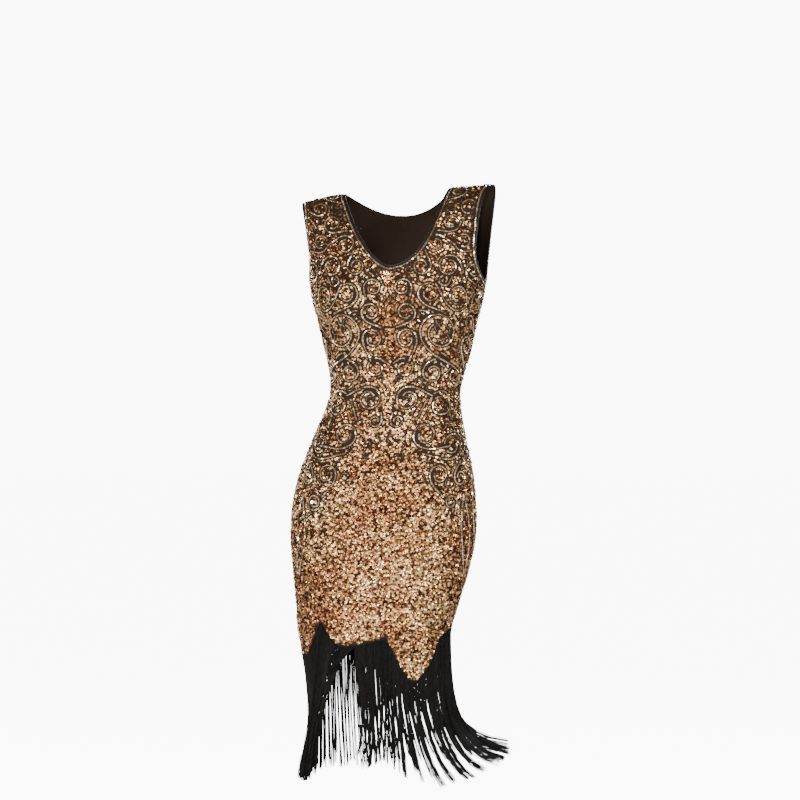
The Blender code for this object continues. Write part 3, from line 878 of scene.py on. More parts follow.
SEQUIN_SIDES = 7
SEQUIN_HOLE = 0.20  # of the radius
SEQUIN_DIP = 0.16  # of the radius, how hollow a sequin is
SEQUIN_CURL = 0.16  # of the radius, how far two sides are bent up and two down
DOMED_SEQUINS = 0.25  # share that lie with their hollow side in
SEQUIN_SPREAD = (0.86, 1.1)  # their widths, as shares of the usual one
STEEPEST_SEQUIN = np.radians(55)
SEQUIN_LIFT = (-0.0002, 0.0010)  # how far they lie off the cloth
SEQUIN_JITTER = 0.22  # how far each is from its even place, in pitches
LANE = 0.0057  # from a pale line to the nearest sequins' middles
LANE_CORNER = 0.92  # share of its distance from the line to which a row may cut a corner
CURL_LANE = 0.0030  # and from a dark curl
SEQUIN_EDGE = 0.0022  # from a raw edge to the nearest sequins' middles
ROWS_BESIDE = 2  # rows of sequins that follow each line on both sides
ROW_STEP = 1.18  # from row to row, in pitches
ALONG_STEP = 0.86  # from sequin to sequin in a row, in pitches
TOO_CLOSE = 0.80  # pitches between sequins of different rows, at least
LOWER_SIZE = 1.02  # how much larger the skirt's sequins are
UPPER_FROM = -0.43  # the height that divides the upper sequins from the lower ones
UPPER_TONE, LOWER_TONE = 0.37, 0.33  # from 0, the darkest foil, to 1, the palest
TONE_SPREAD = 0.22  # how much tones and tints differ from one to the next
SIDE_SHADE = -0.16  # painted shade: how much deeper and redder the tones get over one width towards the right of the skirt
SIDE_SHADE_WIDTH = 0.15
SIDE_SHADE_FROM = 0.35  # in widths, how far from the middle that starts

# Tones and tints also drift over the cloth, by so much, in patches of about such a size. The tone's patches
# are partly the foil's own uneven tone and partly painted sheen and shade.
Patches = namedtuple("Patches", "strength size seed")
TONE_AND_SHEEN_PATCHES = Patches(0.22, 0.03, 544)
TINT_PATCHES = Patches(0.20, 0.02, 545)
BEAD_PATCHES = Patches(0.15, 0.04, 546)
PATCH_WAVES = 5


@cache
def places_beside(face, pitch, bead_length):
    """Flat places for the sequins that follow the beaded lines on both sides."""
    starts, stops = bead_rows(face, bead_length)
    beads = np.concatenate([starts, (starts + stops) / 2, stops])
    kept = np.empty((0, 2))
    for row in range(ROWS_BESIDE):
        distance = LANE + row * pitch * ROW_STEP
        for path in bead_paths(face):
            for hand in (-1, 1):
                fine = finely(beside(finely(path)[0], hand * distance), pitch * ALONG_STEP)[0]
                reach = nearest(beads, fine)
                fine = fine[(reach > distance * LANE_CORNER) & (reach < distance + 2 * GAP)]
                if len(kept) and len(fine):
                    fine = fine[nearest(kept, fine) > pitch * TOO_CLOSE]
                kept = np.concatenate([kept, fine])
    return kept


def sequin_places(face, pitch, sizes, random):
    """Flat places for sequins: rows beside the beaded lines, and uneven staggered rows elsewhere."""
    low, high = cloth(face).flat.min(0), cloth(face).flat.max(0)
    up = np.arange(low[1], high[1], pitch * np.sqrt(3) / 2)
    across = np.arange(low[0], high[0], pitch)
    places = np.stack(np.meshgrid(across, up), -1)
    places[::2, :, 0] += pitch / 2
    places = places.reshape(-1, 2)
    places += random.uniform(-SEQUIN_JITTER, SEQUIN_JITTER, places.shape) * pitch
    starts, stops = bead_rows(face, sizes.bead_length)
    beads = np.concatenate([starts, (starts + stops) / 2, stops])
    rows = places_beside(face, sizes.sequin_pitch, sizes.bead_length)
    places = places[(nearest(beads, places) > LANE) & (nearest(rows, places) > pitch * TOO_CLOSE)]
    places = np.concatenate([rows, places])
    seeds = np.concatenate(curl_rows(face, sizes.bead_length, sizes.seed_length))
    places = places[nearest(seeds, places) > CURL_LANE]
    return places[nearest(raw_edges(face), places) > SEQUIN_EDGE]


def patchy(points, patches):
    """Values that drift over points, from a few slanting waves."""
    random = np.random.default_rng(patches.seed)
    waves = random.normal(0, 1 / patches.size, (PATCH_WAVES, 3))
    drift = np.sin(points @ waves.T + random.uniform(0, WHOLE_TURN, PATCH_WAVES)).sum(-1)
    return patches.strength * drift / (PATCH_WAVES / 2)


def sequin_shapes(worn, out, width, tilt, random):
    """The points of each sequin: its rim, and then the edge of its hole."""
    count = len(worn)
    along, across = frame_on(out, random.normal(0, 1, out.shape))
    lean = np.minimum(abs(random.normal(0, tilt, count)), STEEPEST_SEQUIN)[:, None]
    facing = unit(out * np.cos(lean) + across * np.sin(lean))
    along, across = frame_on(facing, along)
    radius = width / 2 * random.uniform(*SEQUIN_SPREAD, count)[:, None, None]
    angle = even_angles(SEQUIN_SIDES) + random.uniform(0, WHOLE_TURN, (count, 1))
    curl = SEQUIN_CURL * random.uniform(-1, 1, (count, 1)) * np.cos(2 * angle)
    dip = SEQUIN_DIP * random.choice((-1, 1), count, p=(DOMED_SEQUINS, 1 - DOMED_SEQUINS))[:, None]
    spokes = around(along, across, angle)
    rim = spokes + facing[:, None] * (curl + dip)[..., None]
    points = np.concatenate([rim, spokes * SEQUIN_HOLE], 1) * radius + worn[:, None]
    return points + out[:, None] * random.uniform(*SEQUIN_LIFT, count)[:, None, None]


def add_sequins(name, node, face, upper, sizes):
    """The sequins of the upper or lower part of a panel."""
    random = np.random.default_rng([face + 1, int(upper)])
    larger, usual_tone = (1, UPPER_TONE) if upper else (LOWER_SIZE, LOWER_TONE)
    places = sequin_places(face, sizes.sequin_pitch * larger, sizes, random)
    worn, out, on = cloth(face).carry(places)
    chosen = on & ((places[:, 1] > UPPER_FROM) == upper)
    worn, out = worn[chosen], out[chosen]
    points = sequin_shapes(worn, out, sizes.sequin_width * larger, sizes.sequin_tilt, random)
    template = grid_faces(2, SEQUIN_SIDES, ring=True)
    flat = on_circle(even_angles(SEQUIN_SIDES)) / 2
    flat = 0.5 + np.concatenate([flat, flat * SEQUIN_HOLE])
    piece = scattered(name, points, template, flat[template], node)
    # The drifting tone is partly painted sheen and shade.
    tone = usual_tone + random.normal(0, TONE_SPREAD, len(worn)) + patchy(worn, TONE_AND_SHEEN_PATCHES)
    # Painted shade: the foil is made deeper and redder towards the right of the skirt.
    tone += SIDE_SHADE * np.clip(-worn[:, 0] / SIDE_SHADE_WIDTH - SIDE_SHADE_FROM, 0, 1) * (worn[:, 2] < UPPER_FROM)
    add_values(piece, "tone", np.repeat(tone, 2 * SEQUIN_SIDES))
    tint = 0.5 + random.normal(0, TONE_SPREAD, len(worn)) + patchy(worn, TINT_PATCHES)
    add_values(piece, "tint", np.repeat(tint, 2 * SEQUIN_SIDES))
    return piece


# ---------------------------------------------------------------- beads

BEAD_SIDES = 5

# Each ring of a bead as a share of its length and of its radius, and what starts its random draws
Bead = namedtuple("Bead", "rings seed")
TUBE_BEAD = Bead(((-0.5, 0.45), (-0.42, 1.0), (0.42, 1.0), (0.5, 0.45)), 30)
SEED_BEAD = Bead(((-0.46, 0.55), (0.0, 1.0), (0.46, 0.55)), 40)

BEAD_SPREAD = (0.95, 1.04)  # their lengths, as shares of the usual one
BEAD_WOBBLE = 0.03  # how far each leans from its line, as a share of its length
BEAD_HEIGHT = 0.55  # of its radius, how high a bead's middle is over the cloth


def add_beads(name, node, face, rows, bead, width):
    """Beads of one kind on a panel, from the flat ends of each."""
    random = np.random.default_rng(bead.seed + face)
    start, out, first_on = cloth(face).carry(rows[0])
    stop, stop_out, last_on = cloth(face).carry(rows[1])
    on = first_on & last_on
    start, stop, out = start[on], stop[on], unit(out[on] + stop_out[on])
    count = len(start)
    length = np.linalg.norm(stop - start, axis=1) * random.uniform(*BEAD_SPREAD, count)
    along, across = frame_on(out, stop - start)
    wobble = random.normal(0, BEAD_WOBBLE, (2, count, 1))
    along = unit(along + across * wobble[0] + out * wobble[1])
    middle = (start + stop) / 2 + out * (width / 2 * BEAD_HEIGHT)
    spokes = around(across, out, even_angles(BEAD_SIDES) + random.uniform(0, 1, (count, 1)))
    rings = [
        middle[:, None] + along[:, None] * (share * length)[:, None, None] + spokes * width / 2 * size
        for share, size in bead.rings
    ]
    quads, places = tube_template(len(bead.rings), BEAD_SIDES)
    points = np.concatenate(rings, 1)
    piece = scattered(name, points, quads, places, node)
    tone = np.clip(0.5 + random.normal(0, TONE_SPREAD, count) + patchy(middle, BEAD_PATCHES), 0, 1)
    add_values(piece, "tone", np.repeat(tone, points.shape[1]))
    add_values(piece, "tint", np.repeat(random.random(count), points.shape[1]))
    return piece



# ---------------------------------------------------------------- bindings

BINDING_STEP = 0.0015
BINDING_SIDES = 12
BINDING_LAP = 0.0008  # how far the rolled edge laps over the cloth
BINDING_RADII = (0.0016, 0.0015)  # in the cloth and out of it
PUCKER = 0.06  # how much the roll swells between stitches
UNEVEN = 0.02  # and anywhere
ROUNDINGS = 2  # how often the loop's corners are rounded a little
STITCH_PITCH = 0.0052
STITCH_SLANT = 0.00119  # from its foot to its top, along the edge
STITCH_FOOT = (-1.25, 0.50)  # where it starts, in radii of the roll into the opening and out
STITCH_TOP = (0.25, 1.02)
STITCH_RADIUS = 0.00028
STITCH_SIDES = 4

# The edges that are bound. The share is 0 at the neck's edge and 1 at an armhole's. Each run goes up or
# down half a panel, as its face, its side and its way, 1 or -1.
Opening = namedtuple("Opening", "share runs")
OPENINGS = {
    "neck_binding": Opening(0, ((1, 1, 1), (-1, 1, -1), (-1, -1, 1), (1, -1, -1))),
    "armhole_binding_left": Opening(1, ((1, 1, 1), (-1, 1, -1))),
    "armhole_binding_right": Opening(1, ((1, -1, 1), (-1, -1, -1))),
}


def closed_edge(opening):
    """An opening's edge as evenly spaced points, with ways out, along it and into the opening."""
    points, out = (
        np.concatenate([opening_edge(field, *half, opening.share)[::way] for *half, way in opening.runs])
        for field in ("worn", "out")
    )
    keep = np.linalg.norm(points - np.roll(points, 1, 0), axis=1) > GAP
    loop = np.concatenate([points[keep], points[keep][:1]])
    facing = np.concatenate([out[keep], out[keep][:1]])
    both = finely(np.concatenate([loop, facing * FINE_STEP], 1), BINDING_STEP)[0][:-1]
    points, out = softened(both[:, :3]), unit(softened(both[:, 3:]))
    along, sideways = frame_on(out, np.roll(points, -1, 0) - np.roll(points, 1, 0))
    inward = sideways * np.sign((sideways * (points.mean(0) - points)).sum())
    return points, out, along, inward


def softened(loop):
    """A closed loop of points with its corners rounded a little."""
    for _ in range(ROUNDINGS):
        loop = (np.roll(loop, 1, 0) + 2 * loop + np.roll(loop, -1, 0)) / 4
    return loop


def add_binding(node, seed):
    """A strip rolled over a raw edge, with its small slanting stitches."""
    points, out, along, inward = closed_edge(OPENINGS[node])
    count = len(points)
    walk = np.arange(count) * BINDING_STEP
    swell = 1 + PUCKER * np.cos(walk / STITCH_PITCH * WHOLE_TURN)
    swell += UNEVEN * np.random.default_rng(seed).normal(0, 1, count)
    radii = np.array(BINDING_RADII)[:, None] * swell
    middle = points + inward * (LAID_GAP + BINDING_RADII[0] - BINDING_LAP) - out * WALL / 2
    angle = even_angles(BINDING_SIDES)
    rings = middle[:, None] + inward[:, None] * (np.cos(angle) * radii[0][:, None])[..., None]
    rings = rings + out[:, None] * (np.sin(angle) * radii[1][:, None])[..., None]
    quads, places = tube_template(count + 1, BINDING_SIDES)
    name = node.replace("_binding", "_rolled_binding")
    piece = new_piece(name, rings.reshape(-1, 3), quads % rings[..., 0].size, node, True)
    add_flat_map(piece, "weave", places * (WHOLE_TURN * np.mean(BINDING_RADII), count * BINDING_STEP))
    at = np.searchsorted(walk, np.arange(STITCH_PITCH / 2, walk[-1], STITCH_PITCH))
    edge = (side[at] for side in (middle, out, along, inward))
    return piece, add_stitches(name.replace("binding", "stitches"), node, *edge)


def add_stitches(name, node, middle, out, along, inward):
    """Slanting stitches that hold a rolled edge down on the cloth."""
    foot, top = (
        middle + inward * BINDING_RADII[0] * into + out * BINDING_RADII[1] * up
        for into, up in (STITCH_FOOT, STITCH_TOP)
    )
    top += along * STITCH_SLANT
    tone = np.random.default_rng(len(middle)).random(len(middle))
    paths = np.stack([foot, (foot + top) / 2, top], 1)
    return add_threads(name, node, paths, STITCH_RADIUS, tone, STITCH_SIDES)


def add_threads(name, node, paths, radii, tone, sides):
    """Many short threads or long strands as one mesh. Each path is a row of points."""
    count, steps, _ = paths.shape
    ahead = unit(np.gradient(paths, axis=1))
    first = unit(np.cross(ahead, NO_THREADS_WAY + 0 * ahead))
    rings = around(first, np.cross(ahead, first), even_angles(sides))
    radii = np.broadcast_to(radii, (count, steps))[..., None, None]
    points = (paths[:, :, None] + rings * radii).reshape(count, -1, 3)
    quads, places = tube_template(steps, sides)
    piece = scattered(name, points, quads, places, node, True)
    add_values(piece, "tone", np.repeat(tone, steps * sides))
    return piece


# ---------------------------------------------------------------- the hem: tape and fringe

TAPE_INSET = WALL + LAID_GAP
TAPE_THICKNESS = 0.0008
TAPE_ROWS = 5
STRAND_STEPS = 11
STRAND_SIDES = 3
STRAND_TAPER = ((0.0, 1.0), (0.40, 0.98), (0.80, 0.86), (0.98, 0.80), (1.0, 0.62))  # fall, width
STRAND_SPREAD = (0.8, 1.15)  # their widths, as shares of the usual one
STRAND_JITTER = (0.1, 0.9)  # where each starts in its own stretch of the hem
STRAND_WAVE = 0.0005
STRAND_WAVES = (4, 9)  # radians of waves in its fall
STRAND_LENGTH = 0.003  # how much their lengths differ within a lock
SHORTEST, LONGEST = -0.03, 0.008  # how much shorter and longer a strand may be
OUTWARDS = 0.7  # how far locks go in and out, as a share of how far they go sideways
ASTRAY = 1.4  # over 1 strands leave their places late
LOOSE, LOOSER = 0.05, 6  # the share of strands that leave their lock, and how much farther they stray

# The strands gather into locks: how many in each, how far they close up and from what share of their
# fall, how far single strands stray, and how far whole locks go sideways and differ in length.
Lock = namedtuple("Lock", "strands gathered opens stray sideways length")
LOCKS = {
    "fringe_front_right": Lock(15, 0.40, 0.28, 0.0008, 0.0024, 0.008),
    "fringe_front_left": Lock(13, 0.57, 0.12, 0.0006, 0.0024, 0.008),
    "fringe_back": Lock(14, 0.68, 0.26, 0.0007, 0.0016, 0.008),
}
LOCK_SPREAD = (0.5, 1.5)  # their sizes, as shares of the usual one
GATHER_SPREAD = (0.8, 1.0)  # and how far their strands close up
GATHER_SPEED = 2.2  # the inverse of the share of the fall that closing up takes
FULLER_LOCKS = ((8.0, 1.0), (22.0, 2.8), (62.0, 2.8), (100.0, 1.0))  # by turn, times as many strands
LESS_GATHERED = ((-24.0, 1.0), (-20.0, 0.1), (-7.0, 0.1), (-2.0, 0.6), (10.0, 0.6), (18.0, 1.0))
FRINGE_DEPTH = (-0.0026, 0.0006)  # the strands' layers, inside and outside their plain surface


@cache
def hem_ring():
    """The worn hem all round: turns, points, ways down, ways out and lengths walked."""
    halves = [half_panel(*half) for half in QUARTERS]
    turns = np.concatenate([half.turns[:-1] for half in halves] + [halves[0].turns[:1] + 360])
    runs = [[half.worn[0], half.worn[1], half.out[1]] for half in halves]
    edge, above, out = (np.concatenate([run[:-1] for run in row] + [row[0][:1]]) for row in zip(*runs))
    return turns, edge, unit(edge - above), out, distances(edge)


def on_hem(turn):
    """The hem's points, ways down and ways out at any turns."""
    turns, edge, down, out, _ = hem_ring()
    edge, down, out = (read_off(turn, turns, values) for values in (edge, down, out))
    return edge, unit(down), unit(out)


def add_tape():
    """The woven tape that carries the fringe, sewn behind the hem all the way round."""
    _, edge, down, out, walk = hem_ring()
    rows = np.linspace(TAPE_BELOW, -TAPE_ABOVE, TAPE_ROWS)
    grid = edge[None] + down * rows[:, None, None] - out * TAPE_INSET
    faces = grid_faces(*grid.shape[:2])
    piece = new_piece("hem_tape", grid.reshape(-1, 3), faces, "fringe_tape", True)
    flat = np.stack(np.broadcast_arrays(walk[None], rows[:, None]), -1).reshape(-1, 2)
    add_flat_map(piece, "weave", flat[faces.ravel()])
    add_wall(piece, TAPE_THICKNESS)
    return piece


def hanging(name, turn, fall):
    """Where a strand that hangs from each turn has got to at each share of its fall."""
    rows = np.array(FRINGES[name])
    swing, end_height, curl, lift, bow = read_off(turn, rows[:, 0], rows[:, 1:]).T
    edge, down, out = on_hem(turn)
    top = edge + down * TAPE_BELOW - out * (TAPE_INSET - FRINGE_OUTSET)
    places = np.repeat(top[..., None, :], len(fall), axis=-2)
    places[..., 0] += swing[..., None] * fall ** curl[..., None]
    places[..., 0] += bow[..., None] * np.sin(np.pi * fall**BOW_POWER)
    reach = 1 - (1 - fall) ** lift[..., None]
    places[..., 2] += (end_height - top[..., 2])[..., None] * reach
    return places, out


def from_table(place, table):
    """A value read off a table of places and values."""
    return np.interp(place, *np.array(table).T)


def strand_starts(name, pitch, random):
    """The turns at which strands hang from the hem, and the number of the lock that each is in."""
    turns, _, _, _, walk = hem_ring()
    first, last = np.interp((FRINGES[name][0].turn, FRINGES[name][-1].turn), turns, walk)
    count = int((last - first) / pitch)
    along = first + (np.arange(count) + random.uniform(*STRAND_JITTER, count)) * (last - first) / count
    turn = np.interp(along, walk, turns)
    locks_passed = np.cumsum(1 / (LOCKS[name].strands * from_table(turn, FULLER_LOCKS)))
    return turn, np.searchsorted(np.cumsum(random.uniform(*LOCK_SPREAD, count)), locks_passed)


def strand_paths(name, turn, member, fall, random):
    """Each strand's points from the tape to its end."""
    lock, count, locks = LOCKS[name], len(turn), member.max() + 1
    lock_turn = (np.bincount(member, turn) / np.maximum(np.bincount(member), 1))[member]
    own, out = hanging(name, turn, fall)
    shared, _ = hanging(name, lock_turn, fall)
    gathered = lock.gathered * random.uniform(*GATHER_SPREAD, count)
    gathered = gathered * from_table(turn, LESS_GATHERED)
    gather = gathered[:, None] * smooth(np.clip((fall - lock.opens) * GATHER_SPEED, 0, 1))
    paths = mix(own, shared, gather[..., None])
    paths[:, :, 2] = own[:, :, 2]
    sideways = random.normal(0, lock.sideways, (locks, 3))[member] * (1, OUTWARDS, 0)
    loose = np.where(random.random(count) < LOOSE, LOOSER, 1)[:, None]
    stray = random.normal(0, lock.stray, (count, 3)) * loose * (1, 1, 0)
    paths += (sideways + stray)[:, None] * (fall**ASTRAY)[:, None]
    wave = fall * random.uniform(*STRAND_WAVES, (count, 1)) + random.uniform(0, WHOLE_TURN, (count, 1))
    waving = random.normal(0, STRAND_WAVE, (count, 3)) * (1, 1, 0)
    paths += waving[:, None] * (np.sin(wave) * fall)[..., None]
    paths += out[:, None] * random.uniform(*FRINGE_DEPTH, count)[:, None, None]
    longer = random.normal(0, lock.length, locks)[member] + random.normal(0, STRAND_LENGTH, count)
    paths[:, :, 2] -= np.clip(longer, SHORTEST, LONGEST)[:, None] * fall
    return paths


def add_fringe(name, sizes):
    """One stretch of the fringe: silky strands that gather into locks as they fall."""
    random = np.random.default_rng(len(name))
    turn, member = strand_starts(name, sizes.strand_pitch, random)
    fall = np.linspace(0, 1, STRAND_STEPS)
    paths = strand_paths(name, turn, member, fall, random)
    radii = sizes.strand_width / 2 * random.uniform(*STRAND_SPREAD, len(turn))[:, None]
    radii = radii * from_table(fall, STRAND_TAPER)
    tone = random.random(len(turn))
    return add_threads(name + "_strands", name, paths, radii, tone, STRAND_SIDES)


# ---------------------------------------------------------------- materials

ROSY, OLIVE = (1.0, 0.90, 0.88), (0.93, 1.0, 0.90)  # the tints that foil and glass vary between
RUBBED_SCALE = 900.0  # fine patches where foil is rubbed
RUBBED_TONE = 0.3  # how much they change its tone
OVER = 0.25  # how much a thread of the weave rises and sinks as it goes over and under
WEAVE_HEIGHT = 0.67  # brings the highest place of the weave to about 1
UNEVEN_SCALE = 120.0  # stretches where thread is twisted more or less
UNEVEN_TWIST = 6.0  # by how many radians
PLY_SHARE, TONE_SHARE = 0.3, 0.8  # how much a ply's crown is painted paler, as a painted highlight, and how much a thread's own tone makes it paler, partly as painted sheen


def new_group(name, inputs, outputs):
    """A shader node group with named inputs and outputs, made once."""
    group = bpy.data.node_groups.new(name, "ShaderNodeTree")
    for side, sockets in (("INPUT", inputs), ("OUTPUT", outputs)):
        for socket, kind in sockets.items():
            group.interface.new_socket(socket, in_out=side, socket_type="NodeSocket" + kind)
    return group, group.nodes.new("NodeGroupInput"), group.nodes.new("NodeGroupOutput")


def feed(tree, socket, value):
    """Gives a socket its value, or links it to what makes it."""
    if isinstance(value, bpy.types.NodeSocket):
        tree.links.new(value, socket)
    else:
        socket.default_value = value


def add_node(tree, kind, inputs=None, **settings):
    """A node whose inputs are given values or links."""
    node = tree.nodes.new("ShaderNode" + kind)
    for name, value in settings.items():
        setattr(node, name, value)
    for socket, value in (inputs or {}).items():
        feed(tree, node.inputs[socket], value)
    return node


def mixed_colour(tree, share, first, second, way="MIX"):
    """A colour between two others, or made of both in another way."""
    inputs = {0: share, 6: first, 7: second}  # by number, because each kind of value has its own A and B
    return add_node(tree, "Mix", inputs, data_type="RGBA", blend_type=way).outputs[2]


def number(tree, operation, *values):
    """The result of a sum on numbers or links."""
    return add_node(tree, "Math", dict(enumerate(values)), operation=operation).outputs[0]


def mottled(tree, place, scale):
    """A number from 0 to 1 that changes from patch to patch."""
    return add_node(tree, "TexNoise", {"Vector": place, "Scale": scale, "Detail": 1.0}).outputs["Fac"]


def foil_group():
    """Foil tone: the colour and roughness of metal foil or lined glass, from deep to pale."""
    if "Foil tone" in bpy.data.node_groups:
        return bpy.data.node_groups["Foil tone"]
    inputs = {"Tone": "Float", "Deep": "Color", "Middle": "Color", "Pale": "Color"}
    inputs |= {"Tint": "Float", "Rosy": "Color", "Olive": "Color", "Smooth": "Float", "Rough": "Float"}
    tree, given, made = new_group("Foil tone", inputs, {"Colour": "Color", "Roughness": "Float"})
    place = add_node(tree, "TexCoord").outputs["Object"]
    rubbed = mottled(tree, place, RUBBED_SCALE)
    change = number(tree, "MULTIPLY_ADD", rubbed, RUBBED_TONE, -RUBBED_TONE / 2)
    tone = number(tree, "ADD", given.outputs["Tone"], change)
    lower = add_node(tree, "Clamp", {"Value": number(tree, "MULTIPLY", tone, 2.0)}).outputs[0]
    upper = add_node(tree, "Clamp", {"Value": number(tree, "MULTIPLY_ADD", tone, 2.0, -1.0)}).outputs[0]
    colour = mixed_colour(tree, lower, given.outputs["Deep"], given.outputs["Middle"])
    colour = mixed_colour(tree, upper, colour, given.outputs["Pale"])
    tint = mixed_colour(tree, given.outputs["Tint"], given.outputs["Rosy"], given.outputs["Olive"])
    colour = mixed_colour(tree, 1.0, colour, tint, "MULTIPLY")
    tree.links.new(colour, made.inputs["Colour"])
    rough = add_node(tree, "MapRange", {0: rubbed, 3: given.outputs["Smooth"], 4: given.outputs["Rough"]})
    tree.links.new(rough.outputs[0], made.inputs["Roughness"])
    return tree


def weave_group():
    """Weave: threads over and under each other, from flat places in metres, with painted light and shade:
    paler on the threads' crowns and darker in the hollows between them.
    """
    if "Weave" in bpy.data.node_groups:
        return bpy.data.node_groups["Weave"]
    inputs = {"Place": "Vector", "Threads across": "Float", "Threads along": "Float"}
    inputs |= {"Thread": "Color", "Between": "Color"}
    tree, given, made = new_group("Weave", inputs, {"Colour": "Color", "Height": "Float"})
    place = add_node(tree, "SeparateXYZ", {0: given.outputs["Place"]})
    bands = []
    for axis, threads in ((0, "Threads across"), (1, "Threads along")):
        count = number(tree, "MULTIPLY", place.outputs[axis], given.outputs[threads])
        bands.append(number(tree, "SINE", number(tree, "MULTIPLY", count, np.pi)))
    round_thread = [number(tree, "ABSOLUTE", band) for band in bands]
    over = number(tree, "MULTIPLY_ADD", number(tree, "MULTIPLY", *bands), OVER, OVER)
    height = number(tree, "ADD", number(tree, "MAXIMUM", *round_thread), over)
    height = number(tree, "MULTIPLY", height, WEAVE_HEIGHT)
    tree.links.new(height, made.inputs["Height"])
    # Painted light and shade: the colour follows the height, paler on the crowns and darker in the hollows.
    colour = mixed_colour(tree, height, given.outputs["Between"], given.outputs["Thread"])
    tree.links.new(colour, made.inputs["Colour"])
    return tree


def twist_group():
    """Twist: the colour and height of plied thread, from so many twists a metre. Its colour is a painted
    highlight, paler on the crown of each ply, and the paler strands are partly painted sheen.
    """
    if "Twist" in bpy.data.node_groups:
        return bpy.data.node_groups["Twist"]
    inputs = {"Tone": "Float", "Twists": "Float", "Thread": "Color", "Paler": "Color"}
    tree, given, made = new_group("Twist", inputs, {"Colour": "Color", "Height": "Float"})
    place = add_node(tree, "TexCoord").outputs["Object"]
    apart = add_node(tree, "SeparateXYZ", {0: place})
    along = number(tree, "ADD", apart.outputs[0], apart.outputs[2])
    uneven = mottled(tree, place, UNEVEN_SCALE)
    turned = number(tree, "MULTIPLY", number(tree, "MULTIPLY", along, given.outputs["Twists"]), WHOLE_TURN)
    turned = number(tree, "MULTIPLY_ADD", uneven, UNEVEN_TWIST, turned)
    height = number(tree, "MULTIPLY_ADD", number(tree, "SINE", turned), 0.5, 0.5)
    tree.links.new(height, made.inputs["Height"])
    # Painted highlight and sheen: plies are made paler where they rise, and some threads paler than others.
    share = number(tree, "MULTIPLY", given.outputs["Tone"], TONE_SHARE)
    share = number(tree, "MULTIPLY_ADD", height, PLY_SHARE, share)
    colour = mixed_colour(tree, share, given.outputs["Thread"], given.outputs["Paler"])
    tree.links.new(colour, made.inputs["Colour"])
    return tree


def new_material(name, **plain):
    """A material with values that are the same all over."""
    material = bpy.data.materials.new(name)
    material.use_nodes = True
    shader = material.node_tree.nodes["Principled BSDF"]
    for socket, value in plain.items():
        shader.inputs[socket.replace("_", " ")].default_value = value
    return material, material.node_tree, shader


def add_effect(tree, group, **inputs):
    """A node group placed in a material with its own values."""
    return add_node(tree, "Group", {name.replace("_", " "): inputs[name] for name in inputs}, node_tree=group)


def own_value(tree, name):
    """The number that each point of a piece carries under a name."""
    return add_node(tree, "Attribute", attribute_name=name).outputs["Fac"]


def raised(tree, shader, effect, depth):
    """Colours a material by an effect, and raises it by the effect's height times a depth in metres."""
    tree.links.new(effect.outputs["Colour"], shader.inputs["Base Color"])
    bump = add_node(tree, "Bump", {"Height": effect.outputs["Height"], "Distance": depth})
    tree.links.new(bump.outputs["Normal"], shader.inputs["Normal"])


def opaque(colour, times=1.0):
    """A colour with its alpha, made so many times paler."""
    return (*(times * part for part in colour), 1.0)


def foil_material(name, colours, smooth, rough, **plain):
    """Foil sequins or lined glass beads, each with its own tone."""
    material, tree, shader = new_material(name, **plain)
    tone, tint = own_value(tree, "tone"), own_value(tree, "tint")
    deep, middle, pale = (opaque(colour) for colour in colours)
    foil = add_effect(
        tree, foil_group(), Tone=tone, Deep=deep, Middle=middle, Pale=pale,
        Tint=tint, Rosy=opaque(ROSY), Olive=opaque(OLIVE), Smooth=smooth, Rough=rough,
    )
    tree.links.new(foil.outputs["Colour"], shader.inputs["Base Color"])
    tree.links.new(foil.outputs["Roughness"], shader.inputs["Roughness"])
    return material


def woven_material(name, colour, paler, threads, depth, **plain):
    """Cloth with a weave of so many threads a metre, its crowns painted so many times paler than the painted
    shade between them.
    """
    material, tree, shader = new_material(name, **plain)
    place = add_node(tree, "UVMap", uv_map="weave").outputs["UV"]
    weave = add_effect(
        tree, weave_group(), Place=place, Threads_across=threads[0], Threads_along=threads[1],
        Thread=opaque(colour, paler), Between=opaque(colour),
    )
    raised(tree, shader, weave, depth)
    return material


def thread_material(name, colour, paler, twists, depth, **plain):
    """Thread of so many twists a metre, with the palest, a painted highlight and sheen, so many times paler
    than the darkest.
    """
    material, tree, shader = new_material(name, **plain)
    twist = add_effect(
        tree, twist_group(), Tone=own_value(tree, "tone"), Twists=twists,
        Thread=opaque(colour), Paler=opaque(colour, paler),
    )
    raised(tree, shader, twist, depth)
    return material


# ---------------------------------------------------------------- what a user may change

def length_property(name, description, default):
    """A length that a user may change."""
    return FloatProperty(name=name, description=description, default=default, unit="LENGTH")


def colour_property(name, description, default):
    """A colour that a user may change."""
    return FloatVectorProperty(
        name=name, description=description, default=default, subtype="COLOR", min=0, max=1
    )


class DressSizes(bpy.types.PropertyGroup):
    """Sizes of the trimmings."""

    sequin_width: length_property("Sequin width", "Across one sequin", 0.0052)
    sequin_pitch: length_property("Sequin pitch", "Between the middles of two sequins", 0.0045)
    sequin_tilt: FloatProperty(
        name="Sequin tilt", description="How far most sequins lean", default=0.50, subtype="ANGLE"
    )
    bead_width: length_property("Bead width", "Across one tube bead", 0.0033)
    bead_length: length_property("Bead length", "Between the middles of two beads", 0.0062)
    seed_width: length_property("Seed width", "Across one seed bead of the small curls", 0.0019)
    seed_length: length_property("Seed length", "Between two seed beads", 0.0026)
    strand_width: length_property("Strand width", "Across one strand of the fringe", 0.0009)
    strand_pitch: length_property("Strand pitch", "Of hem for each strand", 0.00040)


